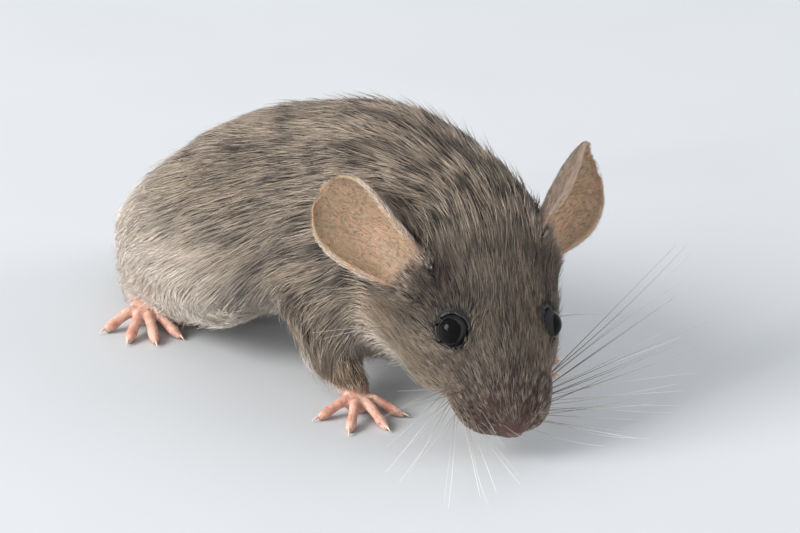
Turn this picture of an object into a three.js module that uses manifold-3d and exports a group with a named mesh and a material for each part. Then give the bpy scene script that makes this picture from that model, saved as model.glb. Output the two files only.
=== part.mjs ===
// House mouse, life size, standing on all four feet with its head turned and lowered.
// Millimetres, +Z up. The body lies along Y with the nose towards -Y, so +X is the mouse's left.
// Every size is out to the tips of the coat. The feet and the tail rest at Z = 0.
import * as THREE from 'three';
import { mergeVertices } from 'three/addons/utils/BufferGeometryUtils.js';
import Module from 'manifold-3d';

const wasm = await Module();
wasm.setup();

// ---------------------------------------------------------------- driving dimensions
const gap = 0.3; // clearance between neighbouring pieces
const eyeRadius = 1.65;
const eyePlace = [5.6, 11.3, 3.2]; // in the head's own frame, left eye
const earThickness = 0.7;
const floorLevel = 0;
const weld = 0.001;
const headCut = 21; // distance of the parting behind the head from the nose tip
const neckCut = -13.5; // place of the parting behind the neck

// Head frame: origin at the nose tip, +Y back along the skull, +Z up through the crown.
const headYaw = -35;
const headPitch = 43;
const headRoll = 8.6;
const noseTip = [-12.6, -37.6, 3.2];

// Body sections from chest to rump: [y, centre x, centre z, half width, rise, drop]
const trunkSections = [
  [-24.0, -2.0, 15.0, 2.0, 2.0, 2.0],
  [-21.0, -1.6, 15.5, 7.6, 9.6, 10.0],
  [-15.0, -0.8, 16.0, 10.2, 14.4, 13.0],
  [-8.0, -0.3, 15.8, 11.5, 15.2, 11.8],
  [0.0, 0.0, 15.0, 12.6, 14.6, 10.6],
  [8.0, 0.0, 13.8, 13.6, 13.4, 10.0],
  [14.5, 0.0, 12.4, 12.8, 11.0, 10.0],
  [19.0, 0.0, 11.0, 10.9, 8.8, 9.0],
  [23.2, 0.0, 9.8, 8.4, 6.6, 7.0],
  [26.3, 0.0, 9.0, 4.8, 3.8, 4.2],
  [27.5, 0.0, 8.8, 1.0, 1.0, 1.0],
];

// Head sections from nose tip to nape, in the head frame, same columns
const headSections = [
  [0.0, 0, 0.0, 0.9, 0.9, 0.8],
  [0.8, 0, 0.0, 1.9, 2.0, 1.9],
  [2.2, 0, 0.1, 3.3, 2.9, 3.0],
  [4.5, 0, 0.2, 5.1, 3.8, 4.0],
  [8.0, 0, 0.2, 6.2, 5.0, 5.0],
  [12.0, 0, 0.0, 7.4, 6.4, 6.0],
  [16.0, 0, -0.3, 9.0, 7.6, 7.4],
  [20.0, 0, -0.7, 9.8, 8.2, 8.8],
  [25.0, 0, -1.8, 9.6, 8.6, 9.4],
  [29.0, 0, -3.0, 8.0, 7.6, 8.0],
  [32.0, 0, -3.6, 2.0, 2.0, 2.0],
];

// Round-bodied limbs: [x, y, z, radius] from the body outwards
const neckEnd = [[-2.8, -19.6, 18.0, 11.6], [-0.6, -11.0, 16.6, 12.2]];
const napePlace = [0, 24, -2.2];
const napeRadius = 9.8;
const legLines = {
  foreleg_right: [[-9.4, -9.4, 10.4, 5.2], [-10.2, -11.0, 5.2, 3.1], [-11.2, -14.0, 2.9, 1.75],
    [-11.5, -15.2, 2.3, 1.5]],
  foreleg_left: [[7.4, -14.4, 10.4, 5.2], [7.8, -18.0, 5.2, 3.1], [7.6, -20.6, 2.9, 1.75],
    [7.1, -21.2, 2.3, 1.5]],
  hindleg_right: [[-5.0, 13.2, 11.8, 7.9], [-8.4, 7.2, 9.2, 6.0], [-6.4, 14.0, 5.6, 4.2],
    [-3.8, 23.0, 3.4, 2.4]],
  hindleg_left: [[5.0, 13.2, 11.8, 7.9], [8.4, 7.2, 9.2, 6.0], [7.8, 14.0, 5.6, 4.2],
    [7.4, 21.5, 3.4, 2.4]],
};
const tailLine = [[0, 23.5, 8.6, 3.4], [2.2, 27.8, 6.4, 2.6], [7.4, 31.2, 3.2, 2.1], [14, 32.2, 1.7, 1.75],
  [21.5, 29.2, 1.3, 1.55], [26.8, 21, 1.1, 1.35], [29, 10, 0.95, 1.2], [28.2, -1, 0.82, 1.05],
  [24.6, -9.4, 0.7, 0.9], [18.8, -12.6, 0.54, 0.72], [14.6, -9.6, 0.36, 0.5]];
const tailCuts = [0.3, 0.52, 0.76]; // shares of the tail's length where one length ends

// Feet: sole line [x, y, z, radius], heading of the middle toe, spread of the toes and their lengths
const feet = {
  forefoot_right: { sole: [[-11.5, -15.2, 1.3, 1.5], [-12.0, -16.0, 1.0, 1.5]], heading: 225,
    spread: [-64, -16, 22, 60], lengths: [4.4, 5.6, 5.4, 4.4], toeRadius: 0.75, arch: 1.5 },
  forefoot_left: { sole: [[7.1, -21.2, 1.3, 1.5], [7.4, -22.0, 1.0, 1.5]], heading: -65,
    spread: [-50, -15, 20, 55], lengths: [4.4, 5.6, 5.4, 4.4], toeRadius: 0.75, arch: 1.5 },
  hindfoot_right: { sole: [[-4.2, 22.4, 1.9, 1.9], [-5.6, 21.2, 1.5, 1.75], [-7.4, 19.6, 1.2, 1.7]],
    heading: 231, spread: [-66, -26, 0, 26, 62], lengths: [4.8, 6.0, 6.4, 6.0, 4.6],
    toeRadius: 0.85, arch: 1.8 },
  hindfoot_left: { sole: [[7.6, 21.0, 1.9, 1.9], [8.8, 17.8, 1.5, 1.75], [10.0, 14.6, 1.2, 1.7]],
    heading: -78, spread: [-58, -26, 0, 26, 58], lengths: [4.8, 6.0, 6.4, 6.0, 4.6],
    toeRadius: 0.85, arch: 1.8 },
};

// Ears: [share of length, half width, half wrap in degrees, depth of the cup behind the base line]
const earSections = [
  [0, 0.42, 50, 0.0], [0.12, 0.56, 62, -0.3], [0.25, 0.76, 74, -0.7], [0.4, 0.94, 80, -0.95],
  [0.55, 1.0, 74, -1.0], [0.7, 0.97, 65, -0.9], [0.82, 0.85, 56, -0.7], [0.92, 0.61, 49, -0.5],
  [0.98, 0.34, 45, -0.3], [1, 0.1, 42, -0.3],
];
const ears = {
  ear_left: { base: [6.2, 20.1, 3.9], along: [9.5, 11.1, 2.0], open: [0.55, -0.58, 0.61],
    length: 14.8, width: 12.7 },
  ear_right: { base: [-7.9, 17.6, 3.7], along: [-8.05, 10.97, -0.64], open: [-0.73, -0.51, 0.46],
    length: 15.2, width: 11.8 },
};

// ---------------------------------------------------------------- finishes
const finish = (color, roughness) => new THREE.MeshStandardMaterial({ color, roughness, metalness: 0 });
const furFinish = finish(0x8d8074, 0.85);
const skinFinish = finish(0xd9a184, 0.6);
const earFinish = finish(0xb9977a, 0.7);
const noseFinish = finish(0x9a6259, 0.45);
const eyeFinish = finish(0x0a0a0c, 0.06);

// ---------------------------------------------------------------- curves
// A smooth row of numbers between the rows of a table whose first column is the key.
function between(table, key) {
  const last = table.length - 1;
  let i = 0;
  while (i < last - 1 && key > table[i + 1][0]) i += 1;
  const slope = (j, c) => {
    if (j === 0) return (table[1][c] - table[0][c]) / (table[1][0] - table[0][0]);
    if (j === last) return (table[last][c] - table[last - 1][c]) / (table[last][0] - table[last - 1][0]);
    const before = table[j][0] - table[j - 1][0];
    const after = table[j + 1][0] - table[j][0];
    const low = (table[j][c] - table[j - 1][c]) / before;
    const high = (table[j + 1][c] - table[j][c]) / after;
    return (low * after + high * before) / (before + after);
  };
  const span = table[i + 1][0] - table[i][0];
  const t = (key - table[i][0]) / span;
  const row = [];
  for (let c = 1; c < table[0].length; c += 1) {
    row.push((2 * t ** 3 - 3 * t ** 2 + 1) * table[i][c] + (t ** 3 - 2 * t ** 2 + t) * span * slope(i, c)
      + (3 * t ** 2 - 2 * t ** 3) * table[i + 1][c] + (t ** 3 - t ** 2) * span * slope(i + 1, c));
  }
  return row;
}

// ---------------------------------------------------------------- closed shapes
// Moves every vertex of a geometry by place(x, y, z) and leaves a closed solid.
function moulded(geometry, place) {
  const shape = geometry.clone();
  shape.deleteAttribute('normal');
  shape.deleteAttribute('uv');
  const spot = shape.getAttribute('position');
  for (let i = 0; i < spot.count; i += 1) {
    const to = place(spot.getX(i), spot.getY(i), spot.getZ(i));
    spot.setXYZ(i, to[0], to[1], to[2]);
  }
  const welded = mergeVertices(shape, 1e-4);
  const corners = new Float32Array(welded.getAttribute('position').array);
  const faces = new Uint32Array(welded.getIndex().array);
  return new wasm.Manifold(new wasm.Mesh({ numProp: 3, vertProperties: corners, triVerts: faces }));
}

// A long body from its sections: a sphere whose parallels become the sections.
function lofted(sections, power, around, along, grow) {
  const low = sections[0][0];
  const high = sections[sections.length - 1][0];
  return moulded(new THREE.SphereGeometry(1, around, along), (x, y, z) => {
    const share = Math.acos(THREE.MathUtils.clamp(-y, -1, 1)) / Math.PI;
    const station = low + (high - low) * share;
    const [cx, cz, half, rise, drop] = between(sections, station);
    const shift = grow * (2 * share - 1);
    const length = Math.hypot(x, z);
    if (length < 1e-6) return [cx, station + shift, cz];
    const side = Math.abs(x / length) / (half + grow);
    const lift = Math.abs(z / length) / ((z > 0 ? rise : drop) + grow);
    const reach = (side ** power + lift ** power) ** (-1 / power);
    return [cx + reach * x / length, station + shift, cz + reach * z / length];
  });
}

// A limb: a sphere drawn out along a smooth line of [x, y, z, radius], round at both ends.
function limb(line, around, along, grow = 0) {
  const rows = line.map((row, i) => [i, ...row]);
  const last = line.length - 1;
  const caps = Math.min(3, Math.floor(along / 3)); // parallels that each round end takes
  const turn = new THREE.Quaternion();
  const before = new THREE.Vector3(0, 1, 0);
  const rings = [];
  for (let i = 0; i <= along; i += 1) {
    const key = THREE.MathUtils.clamp((i - caps) / (along - 2 * caps), 0, 1) * last;
    const from = between(rows, Math.max(0, key - 0.02));
    const to = between(rows, Math.min(last, key + 0.02));
    const ahead = new THREE.Vector3(to[0] - from[0], to[1] - from[1], to[2] - from[2]).normalize();
    turn.premultiply(new THREE.Quaternion().setFromUnitVectors(before, ahead));
    before.copy(ahead);
    const bend = Math.min(i, along - i, caps) / caps * Math.PI / 2;
    const push = Math.cos(bend) * (i < along / 2 ? -1 : 1);
    rings.push({ row: between(rows, key), turn: turn.clone(), width: Math.sin(bend), push });
  }
  return moulded(new THREE.SphereGeometry(1, around, along), (x, y, z) => {
    const share = Math.acos(THREE.MathUtils.clamp(-y, -1, 1)) / Math.PI;
    const ring = rings[Math.round(share * along)];
    const [px, py, pz, radius] = ring.row;
    const size = radius + grow;
    const round = Math.max(Math.hypot(x, z), 1e-6);
    const wide = ring.width * size / round;
    const spot = new THREE.Vector3(x * wide, ring.push * size, z * wide).applyQuaternion(ring.turn);
    return [px + spot.x, py + spot.y, pz + spot.z];
  });
}

function ellipsoid(centre, radii, around, along, grow = 0) {
  const [rx, ry, rz] = radii.map((radius) => radius + grow);
  return moulded(new THREE.SphereGeometry(1, around, along), (x, y, z) => [
    centre[0] + x * rx, centre[1] + y * ry, centre[2] + z * rz]);
}

// A stout limb that bends sharply: one tapered length from each point to the next.
function chain(line, around, along, grow = 0) {
  return joined(line.slice(1).map((row, i) => limb([line[i], row], around, along, grow)));
}

const joined = (solids) => solids.reduce((sum, solid) => sum.add(solid));
const cutBy = (solid, cutters) => cutters.reduce((left, cutter) => left.subtract(cutter), solid);

// A slab of the floor, to trim a sole flat.
const underFloor = moulded(new THREE.BoxGeometry(200, 200, 20), (x, y, z) => [x, y, z - 10 + floorLevel]);

// ---------------------------------------------------------------- head
const turnHead = new THREE.Matrix4()
  .makeRotationZ(THREE.MathUtils.degToRad(headYaw))
  .multiply(new THREE.Matrix4().makeRotationX(THREE.MathUtils.degToRad(headPitch)))
  .multiply(new THREE.Matrix4().makeRotationY(THREE.MathUtils.degToRad(headRoll)));
const placeHead = new THREE.Matrix4().makeTranslation(...noseTip).multiply(turnHead);
const onHead = (solid) => solid.transform(placeHead.elements);
const spotOnHead = (spot) => new THREE.Vector3(...spot).applyMatrix4(placeHead).toArray();

function makeSkull(grow) {
  const parts = [lofted(headSections, 2.1, 18, 12, grow)];
  for (const side of [-1, 1]) {
    parts.push(ellipsoid([side * 4.3, 14.5, -2.8], [5.0, 7.6, 5.4], 10, 7, grow)); // cheek
    parts.push(ellipsoid([side * 2.5, 4.8, -0.8], [3.1, 3.9, 2.8], 10, 6, grow)); // whisker pad
  }
  return onHead(joined(parts));
}

const makeEye = (side, grow) => onHead(ellipsoid([side * eyePlace[0], eyePlace[1], eyePlace[2]],
  [eyeRadius, eyeRadius, eyeRadius], 12, 7, grow));
const makeNose = (grow) => onHead(ellipsoid([0, 0.5, 0.3], [1.4, 0.85, 0.8], 8, 5, grow));

// ---------------------------------------------------------------- ears
// A curved leaf: a thin box whose width wraps into a cup and whose outline follows the sections.
function makeEar({ base, along, open, length, width }) {
  const up = new THREE.Vector3(...along).normalize();
  const out = new THREE.Vector3(...open);
  out.addScaledVector(up, -out.dot(up)).normalize();
  const across = new THREE.Vector3().crossVectors(up, out);
  const leaf = moulded(new THREE.BoxGeometry(2, 1, 2, 7, 8, 1), (x, y, z) => {
    const share = y + 0.5;
    const [half, wrap, back] = between(earSections, share);
    const angle = THREE.MathUtils.degToRad(wrap);
    const radius = half * width / 2 / angle;
    const depth = radius - z * earThickness / 2;
    const side = depth * Math.sin(x * angle);
    const rise = radius - depth * Math.cos(x * angle) + back;
    const spot = new THREE.Vector3(...base);
    spot.addScaledVector(up, share * length).addScaledVector(across, side).addScaledVector(out, rise);
    return spot.toArray();
  });
  return onHead(leaf);
}

// ---------------------------------------------------------------- neck, trunk, legs
const neckLine = [[...spotOnHead(napePlace), napeRadius], ...neckEnd];
const makeNeck = (grow) => chain(neckLine, 14, 6, grow);
const makeTrunk = (grow) => lofted(trunkSections, 2.15, 20, 13, grow);

// Each leg keeps to its own side of the middle plane.
function makeLeg(name, grow) {
  const side = name.endsWith('left') ? 1 : -1;
  const otherSide = moulded(new THREE.BoxGeometry(40, 100, 60), (x, y, z) => [
    x - side * (20 - gap / 2 + grow), y, z]);
  return cutBy(chain(legLines[name], 8, 5, grow), [otherSide]);
}

// ---------------------------------------------------------------- feet
function makeToes({ sole, heading, spread, lengths, toeRadius, arch }, grow) {
  const root = sole[sole.length - 1];
  return spread.map((offset, i) => {
    const angle = THREE.MathUtils.degToRad(heading + offset);
    const point = (share, height, radius) => [
      root[0] + Math.cos(angle) * (0.8 + lengths[i] * share),
      root[1] + Math.sin(angle) * (0.8 + lengths[i] * share), height, radius];
    return limb([point(0, 1.25, toeRadius + 0.15), point(0.4, arch, toeRadius),
      point(0.78, 0.75, toeRadius - 0.12), point(1, 0.32, 0.42)], 6, 6, grow);
  });
}

function makeFoot(foot, grow) {
  const sole = chain(foot.sole, 8, 5, grow);
  return cutBy(joined([sole, ...makeToes(foot, grow)]), [underFloor]);
}

// ---------------------------------------------------------------- tail
// The tail is one bent cone, parted across its line into a few lengths.
function makeTail() {
  const whole = limb(tailLine, 8, 30).subtract(underFloor);
  const rows = tailLine.map((row, i) => [i, ...row]);
  const last = tailLine.length - 1;
  const at = (share) => {
    const here = between(rows, share * last);
    const next = between(rows, share * last + 0.01);
    return { spot: here, turn: Math.atan2(next[1] - here[1], next[0] - here[0]) };
  };
  const slabs = tailCuts.map((share) => {
    const { spot, turn } = at(share);
    return moulded(new THREE.BoxGeometry(gap, 8, 12), (x, y, z) => [
      spot[0] + x * Math.cos(turn) - y * Math.sin(turn),
      spot[1] + x * Math.sin(turn) + y * Math.cos(turn), spot[2] + z]);
  });
  const lengths = cutBy(whole, [...slabs, makeTrunk(gap)]).decompose();
  return lengths.filter((piece) => piece.volume() > 1).sort((a, b) => b.boundingBox().max[2]
    - a.boundingBox().max[2]);
}

// ---------------------------------------------------------------- assembly
const mouse = new THREE.Group();

// Welds corners that a cut left closer than this, and drops the faces that close up.
function welded({ vertProperties, triVerts }) {
  const geometry = new THREE.BufferGeometry();
  geometry.setAttribute('position', new THREE.BufferAttribute(new Float32Array(vertProperties), 3));
  geometry.setIndex(new THREE.BufferAttribute(new Uint32Array(triVerts), 1));
  const merged = mergeVertices(geometry, weld);
  const old = merged.getIndex().array;
  const kept = new Map();
  for (let i = 0; i < old.length; i += 3) {
    const face = Array.from(old.slice(i, i + 3));
    const corners = [...face].sort((a, b) => a - b);
    const key = corners.join();
    if (corners[0] === corners[1] || corners[1] === corners[2]) continue;
    if (kept.has(key)) kept.delete(key);
    else kept.set(key, face);
  }
  merged.setIndex([...kept.values()].flat());
  return merged;
}

// The largest body of the solid becomes a named piece of the mouse.
function add(name, solid, material) {
  const [largest] = solid.decompose().sort((a, b) => b.volume() - a.volume());
  const geometry = welded(largest.getMesh());
  geometry.computeVertexNormals();
  const mesh = new THREE.Mesh(geometry, material);
  mesh.name = name;
  mouse.add(mesh);
}

// Everything behind the parting plane of the head, and of the neck.
const behindHead = (shift) => onHead(moulded(new THREE.BoxGeometry(60, 60, 60), (x, y, z) => [
  x, y + 30 + headCut + shift, z]));
const behindNeck = (shift) => moulded(new THREE.BoxGeometry(80, 80, 80), (x, y, z) => [
  x, y + 40 + neckCut + shift, z]);
const makeNape = (grow) => joined([makeNeck(grow), makeSkull(grow)]);

const skullRoom = makeSkull(gap);
const headRoom = skullRoom.subtract(behindHead(gap));
const neckRoom = makeNape(gap).subtract(behindNeck(gap));
const eyeRooms = [-1, 1].map((side) => makeEye(side, gap));

add('head', cutBy(makeSkull(0), [behindHead(0), ...eyeRooms, makeNose(gap)]), furFinish);
add('nose', makeNose(0), noseFinish);
add('eye_left', makeEye(1, 0), eyeFinish);
add('eye_right', makeEye(-1, 0), eyeFinish);
for (const [name, ear] of Object.entries(ears)) {
  add(name, cutBy(makeEar(ear), [skullRoom, makeNeck(gap)]), earFinish);
}
add('neck', cutBy(makeNape(0), [headRoom, behindNeck(0)]), furFinish);

const legRooms = Object.keys(legLines).map((name) => makeLeg(name, gap));
for (const name of Object.keys(legLines)) {
  const mates = name.startsWith('fore') ? [headRoom, neckRoom] : [];
  const footName = name.replace('leg', 'foot');
  add(name, cutBy(makeLeg(name, 0), [...mates, makeFoot(feet[footName], gap), underFloor]), furFinish);
  add(footName, makeFoot(feet[footName], 0), skinFinish);
}
add('trunk', cutBy(joined([makeTrunk(0), makeNape(0)]), [headRoom, neckRoom, ...legRooms]), furFinish);
const tailNames = ['tail_root', 'tail_upper', 'tail_lower', 'tail_tip'];
makeTail().forEach((piece, i) => add(tailNames[i], piece, skinFinish));

// The origin is the middle of the footprint, on the floor.
const box = new THREE.Box3().setFromObject(mouse);
const middle = box.getCenter(new THREE.Vector3());
mouse.position.set(-middle.x, -middle.y, -box.min.z);

export default mouse;
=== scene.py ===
import math
import bpy
import numpy as np
from mathutils import Matrix, Vector
from mathutils.kdtree import KDTree


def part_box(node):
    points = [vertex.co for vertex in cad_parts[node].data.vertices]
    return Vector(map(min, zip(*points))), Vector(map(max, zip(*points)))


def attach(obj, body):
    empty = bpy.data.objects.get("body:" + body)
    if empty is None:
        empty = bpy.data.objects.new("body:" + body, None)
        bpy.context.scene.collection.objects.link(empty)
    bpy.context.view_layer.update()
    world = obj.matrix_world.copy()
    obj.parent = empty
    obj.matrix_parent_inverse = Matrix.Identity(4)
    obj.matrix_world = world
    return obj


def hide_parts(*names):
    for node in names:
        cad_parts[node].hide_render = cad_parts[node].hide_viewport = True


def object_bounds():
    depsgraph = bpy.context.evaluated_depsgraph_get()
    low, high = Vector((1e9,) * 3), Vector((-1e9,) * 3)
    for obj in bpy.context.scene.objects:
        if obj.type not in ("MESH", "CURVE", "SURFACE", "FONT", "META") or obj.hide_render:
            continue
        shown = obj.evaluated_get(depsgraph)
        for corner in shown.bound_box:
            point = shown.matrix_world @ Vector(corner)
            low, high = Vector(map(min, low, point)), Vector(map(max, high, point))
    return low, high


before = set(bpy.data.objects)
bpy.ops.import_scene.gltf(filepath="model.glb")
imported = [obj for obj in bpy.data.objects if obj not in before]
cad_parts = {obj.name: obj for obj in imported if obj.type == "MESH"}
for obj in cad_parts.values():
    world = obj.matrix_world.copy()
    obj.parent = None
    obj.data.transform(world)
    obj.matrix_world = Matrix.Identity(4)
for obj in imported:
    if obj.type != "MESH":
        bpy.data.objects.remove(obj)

cadLow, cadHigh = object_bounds()
mm = 0.001

# Shapes are worked out in millimetres as the solids were modelled: floor at z = 0, nose towards -y,
# +x the mouse's own left. toFrame moves them into the frame, in metres.
headPose = {"nose": (-12.6, -37.6, 3.2), "yaw": -35, "pitch": 43, "roll": 8.6}
eyeBall = {"radius": 1.65, "place": (5.6, 11.3, 3.2), "facing": (0.80, -0.28, 0.52)}


def turning(axis, degrees):
    return np.array(Matrix.Rotation(math.radians(degrees), 3, axis))


headTurn = turning("Z", headPose["yaw"]) @ turning("X", headPose["pitch"]) @ turning("Y", headPose["roll"])


def fromHead(spots):
    return np.asarray(spots, float) @ headTurn.T + np.array(headPose["nose"])


def toHead(spots):
    return (spots - np.array(headPose["nose"])) @ headTurn


def mirrored(spot, side):
    return np.array([side * spot[0], spot[1], spot[2]])


def findShift():
    gaps = []
    for name, side in (("eye_left", 1), ("eye_right", -1)):
        low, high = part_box(name)
        gaps.append((np.array(low) + np.array(high)) / 2 / mm - fromHead(mirrored(eyeBall["place"], side)))
    return np.mean(gaps, axis=0) * (1, 1, 0)


frameShift = findShift()


def toFrame(points):
    return (np.asarray(points, float) + frameShift) * mm


# Small helpers for arrays of points
def unit(vectors):
    vectors = np.asarray(vectors, float)
    return vectors / np.maximum(np.linalg.norm(vectors, axis=-1, keepdims=True), 1e-9)


def ramp(value, low, high):
    t = np.clip((value - low) / (high - low), 0, 1)
    return t * t * (3 - 2 * t)


def fall(value, low, high):
    # 1 below the low mark and 0 above the high one
    return ramp(-value, -high, -low)


def smoothMin(a, b, reach):
    h = np.clip(0.5 + 0.5 * (b - a) / reach, 0, 1)
    return b + (a - b) * h - reach * h * (1 - h)


def smoothMax(a, b, reach):
    return -smoothMin(-a, -b, reach)


def ripple(points, size, seed):
    # soft noise from a few crossing waves, about -1 to 1
    count, total = 7, 3.7
    draw = np.random.default_rng(seed)
    waves = unit(draw.normal(size=(count, 3))) * (2 * math.pi / size) * draw.uniform(0.7, 1.4, (count, 1))
    return np.sin(points @ waves.T + draw.uniform(0, 6.3, count)).sum(1) / total


def smoothRows(rows, steps):
    # a smooth curve through the rows of a table whose first column is the key
    table = np.array(rows, float)
    keys, values = table[:, 0], table[:, 1:]
    slopes = np.gradient(values, keys, axis=0)
    at = np.linspace(keys[0], keys[-1], steps)
    i = np.clip(np.searchsorted(keys, at) - 1, 0, len(keys) - 2)
    span = (keys[i + 1] - keys[i])[:, None]
    t = (at - keys[i])[:, None] / span
    curve = (2 * t**3 - 3 * t**2 + 1) * values[i] + (t**3 - 2 * t**2 + t) * span * slopes[i]
    curve += (3 * t**2 - 2 * t**3) * values[i + 1] + (t**3 - t**2) * span * slopes[i + 1]
    return at, curve


def smoothLine(points, steps):
    rows = [[i, *point] for i, point in enumerate(points)]
    return smoothRows(rows, steps * (len(points) - 1) + 1)[1]


# The body's shape. Each table ends with the depth of the coat over the skin.
bodyShape = {
    # y, centre x, centre z, half width, rise, drop, coat
    "trunk": [
        (-24.0, -2.0, 15.0, 2.0, 2.0, 2.0, 1.2), (-21.0, -1.6, 15.5, 7.6, 9.6, 10.0, 1.2),
        (-15.0, -0.8, 16.0, 10.2, 14.4, 13.0, 1.3), (-8.0, -0.3, 15.8, 11.5, 15.2, 11.8, 1.35),
        (0.0, 0.0, 15.0, 12.6, 14.6, 10.6, 1.4), (8.0, 0.0, 13.8, 13.6, 13.4, 10.0, 1.4),
        (14.5, 0.0, 12.4, 12.8, 11.0, 10.0, 1.4), (19.0, 0.0, 11.0, 10.9, 8.8, 9.0, 1.4),
        (23.2, 0.0, 9.8, 8.4, 6.6, 7.0, 1.3), (26.3, 0.0, 9.0, 4.8, 3.8, 4.2, 1.1),
        (27.5, 0.0, 8.8, 1.0, 1.0, 1.0, 0.7)],
    # the same columns in the head's own frame, from nose tip to nape
    "head": [
        (0.0, 0, 0.0, 0.9, 0.9, 0.8, 0.05), (0.8, 0, 0.0, 1.9, 2.0, 1.9, 0.1),
        (2.2, 0, 0.1, 3.3, 2.9, 3.0, 0.18), (4.5, 0, 0.2, 5.1, 3.8, 4.0, 0.28),
        (8.0, 0, 0.2, 6.2, 5.0, 5.0, 0.42), (12.0, 0, 0.0, 7.4, 6.4, 6.0, 0.55),
        (16.0, 0, -0.3, 9.0, 7.6, 7.4, 0.7), (20.0, 0, -0.7, 9.8, 8.2, 8.8, 0.9),
        (25.0, 0, -1.8, 9.6, 8.6, 9.4, 1.15), (29.0, 0, -3.0, 8.0, 7.6, 8.0, 1.2),
        (32.0, 0, -3.6, 2.0, 2.0, 2.0, 1.2)],
    "cheek": {"place": (4.3, 14.5, -2.8), "radii": (5.0, 7.6, 5.4), "coat": 0.6},
    "pad": {"place": (2.5, 4.8, -0.8), "radii": (3.1, 3.9, 2.8), "coat": 0.25},
    "nape": (0, 24, -2.2),
    # x, y, z, radius, coat; the nape's size is its radius and coat
    "neckEnd": [(-2.8, -19.6, 18.0, 11.6, 1.2), (-0.6, -11.0, 16.6, 12.2, 1.3)],
    "napeSize": (9.8, 1.2),
    "legs": {
        "foreleg_right": [(-9.4, -9.4, 10.4, 5.2, 1.1), (-10.2, -11.0, 5.2, 3.1, 0.8),
                          (-11.2, -14.0, 2.9, 1.75, 0.3), (-11.5, -15.2, 2.3, 1.5, 0.15)],
        "foreleg_left": [(7.4, -14.4, 10.4, 5.2, 1.1), (7.8, -18.0, 5.2, 3.1, 0.8),
                         (7.6, -20.6, 2.9, 1.75, 0.3), (7.1, -21.2, 2.3, 1.5, 0.15)],
        "hindleg_right": [(-5.0, 13.2, 11.8, 7.9, 1.3), (-8.4, 7.2, 9.2, 6.0, 1.2),
                          (-6.4, 14.0, 5.6, 4.2, 0.8), (-3.8, 23.0, 3.4, 2.4, 0.3)],
        "hindleg_left": [(5.0, 13.2, 11.8, 7.9, 1.3), (8.4, 7.2, 9.2, 6.0, 1.2),
                         (7.8, 14.0, 5.6, 4.2, 0.8), (7.4, 21.5, 3.4, 2.4, 0.3)]},
    "tail": [
        (0, 23.5, 8.6, 3.4, 1.0), (2.2, 27.8, 6.4, 2.6, 0.5), (7.4, 31.2, 3.2, 2.1, 0.2),
        (14, 32.2, 1.7, 1.75, 0.12), (21.5, 29.2, 1.3, 1.55, 0.1), (26.8, 21, 1.1, 1.35, 0.1),
        (29, 10, 0.95, 1.2, 0.1), (28.2, -1, 0.82, 1.05, 0.1), (24.6, -9.4, 0.7, 0.9, 0.08),
        (18.8, -12.6, 0.54, 0.72, 0.08), (14.6, -9.6, 0.36, 0.5, 0.06)],
}

feet = {
    "forefoot_right": {"sole": [(-11.5, -15.2, 1.3, 1.5), (-12.0, -16.0, 1.0, 1.5)], "heading": 225,
                       "spread": (-64, -16, 22, 60), "lengths": (4.4, 5.6, 5.4, 4.4),
                       "thick": 1.0, "arch": 1.5},
    "forefoot_left": {"sole": [(7.1, -21.2, 1.3, 1.5), (7.4, -22.0, 1.0, 1.5)], "heading": -65,
                      "spread": (-50, -15, 20, 55), "lengths": (4.4, 5.6, 5.4, 4.4),
                      "thick": 1.0, "arch": 1.5},
    "hindfoot_right": {"sole": [(-4.2, 22.4, 1.9, 1.9), (-5.6, 21.2, 1.5, 1.75), (-7.4, 19.6, 1.2, 1.7)],
                       "heading": 231, "spread": (-66, -26, 0, 26, 62), "lengths": (4.8, 6.0, 6.4, 6.0, 4.6),
                       "thick": 1.12, "arch": 1.8},
    "hindfoot_left": {"sole": [(7.6, 21.0, 1.9, 1.9), (8.8, 17.8, 1.5, 1.75), (10.0, 14.6, 1.2, 1.7)],
                      "heading": -78, "spread": (-58, -26, 0, 26, 58), "lengths": (4.8, 6.0, 6.4, 6.0, 4.6),
                      "thick": 1.12, "arch": 1.8},
}
# share of the toe's length, height as a share of the arch, radius before "thick"
toeProfile = [(0.0, 0.85, 0.80), (0.3, 1.0, 0.62), (0.58, 0.72, 0.52), (0.82, 0.42, 0.58), (1.0, 0.26, 0.34)]

# share of length, half width, half wrap in degrees, depth of the cup behind the base line
earSections = [
    (0, 0.42, 50, 0.0), (0.12, 0.56, 62, -0.3), (0.25, 0.76, 74, -0.7), (0.4, 0.94, 80, -0.95),
    (0.55, 1.0, 74, -1.0), (0.7, 0.97, 65, -0.9), (0.82, 0.85, 56, -0.7), (0.92, 0.61, 49, -0.5),
    (0.98, 0.34, 45, -0.3), (1, 0.1, 42, -0.3)]
ears = {
    "ear_left": {"base": (6.2, 20.1, 3.9), "along": (9.5, 11.1, 2.0), "open": (0.55, -0.58, 0.61),
                 "length": 14.8, "width": 12.7, "fringe": 0.35},
    "ear_right": {"base": (-7.9, 17.6, 3.7), "along": (-8.05, 10.97, -0.64), "open": (-0.73, -0.51, 0.46),
                  "length": 15.2, "width": 11.8, "fringe": 0.85},
}
# how much thicker the sheet is at its root, how much thinner at the sides, and the bead along the rim
earSkin = {"thickness": 0.42, "coat": 0.28, "root": 0.45, "sides": 0.3, "near": 1.2,
           "bead": 0.08, "beadPlace": 0.97, "beadWidth": 0.05, "caution": 0.8}
loft = {"steps": 240, "tuck": 12, "trunkPower": 2.15, "headPower": 2.1}
# how far each part melts into what is already there
blends = {"trunk": 0.1, "neck": 5.0, "foreleg": 3.0, "hindleg": 3.5, "head": 3.5, "tailRoot": 2.0, "tail": 0.05,
          "foot": 0.6, "toe": 0.45, "ear": 1.6, "cheek": 3.0, "pad": 1.5}
tailSteps = 4


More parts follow.
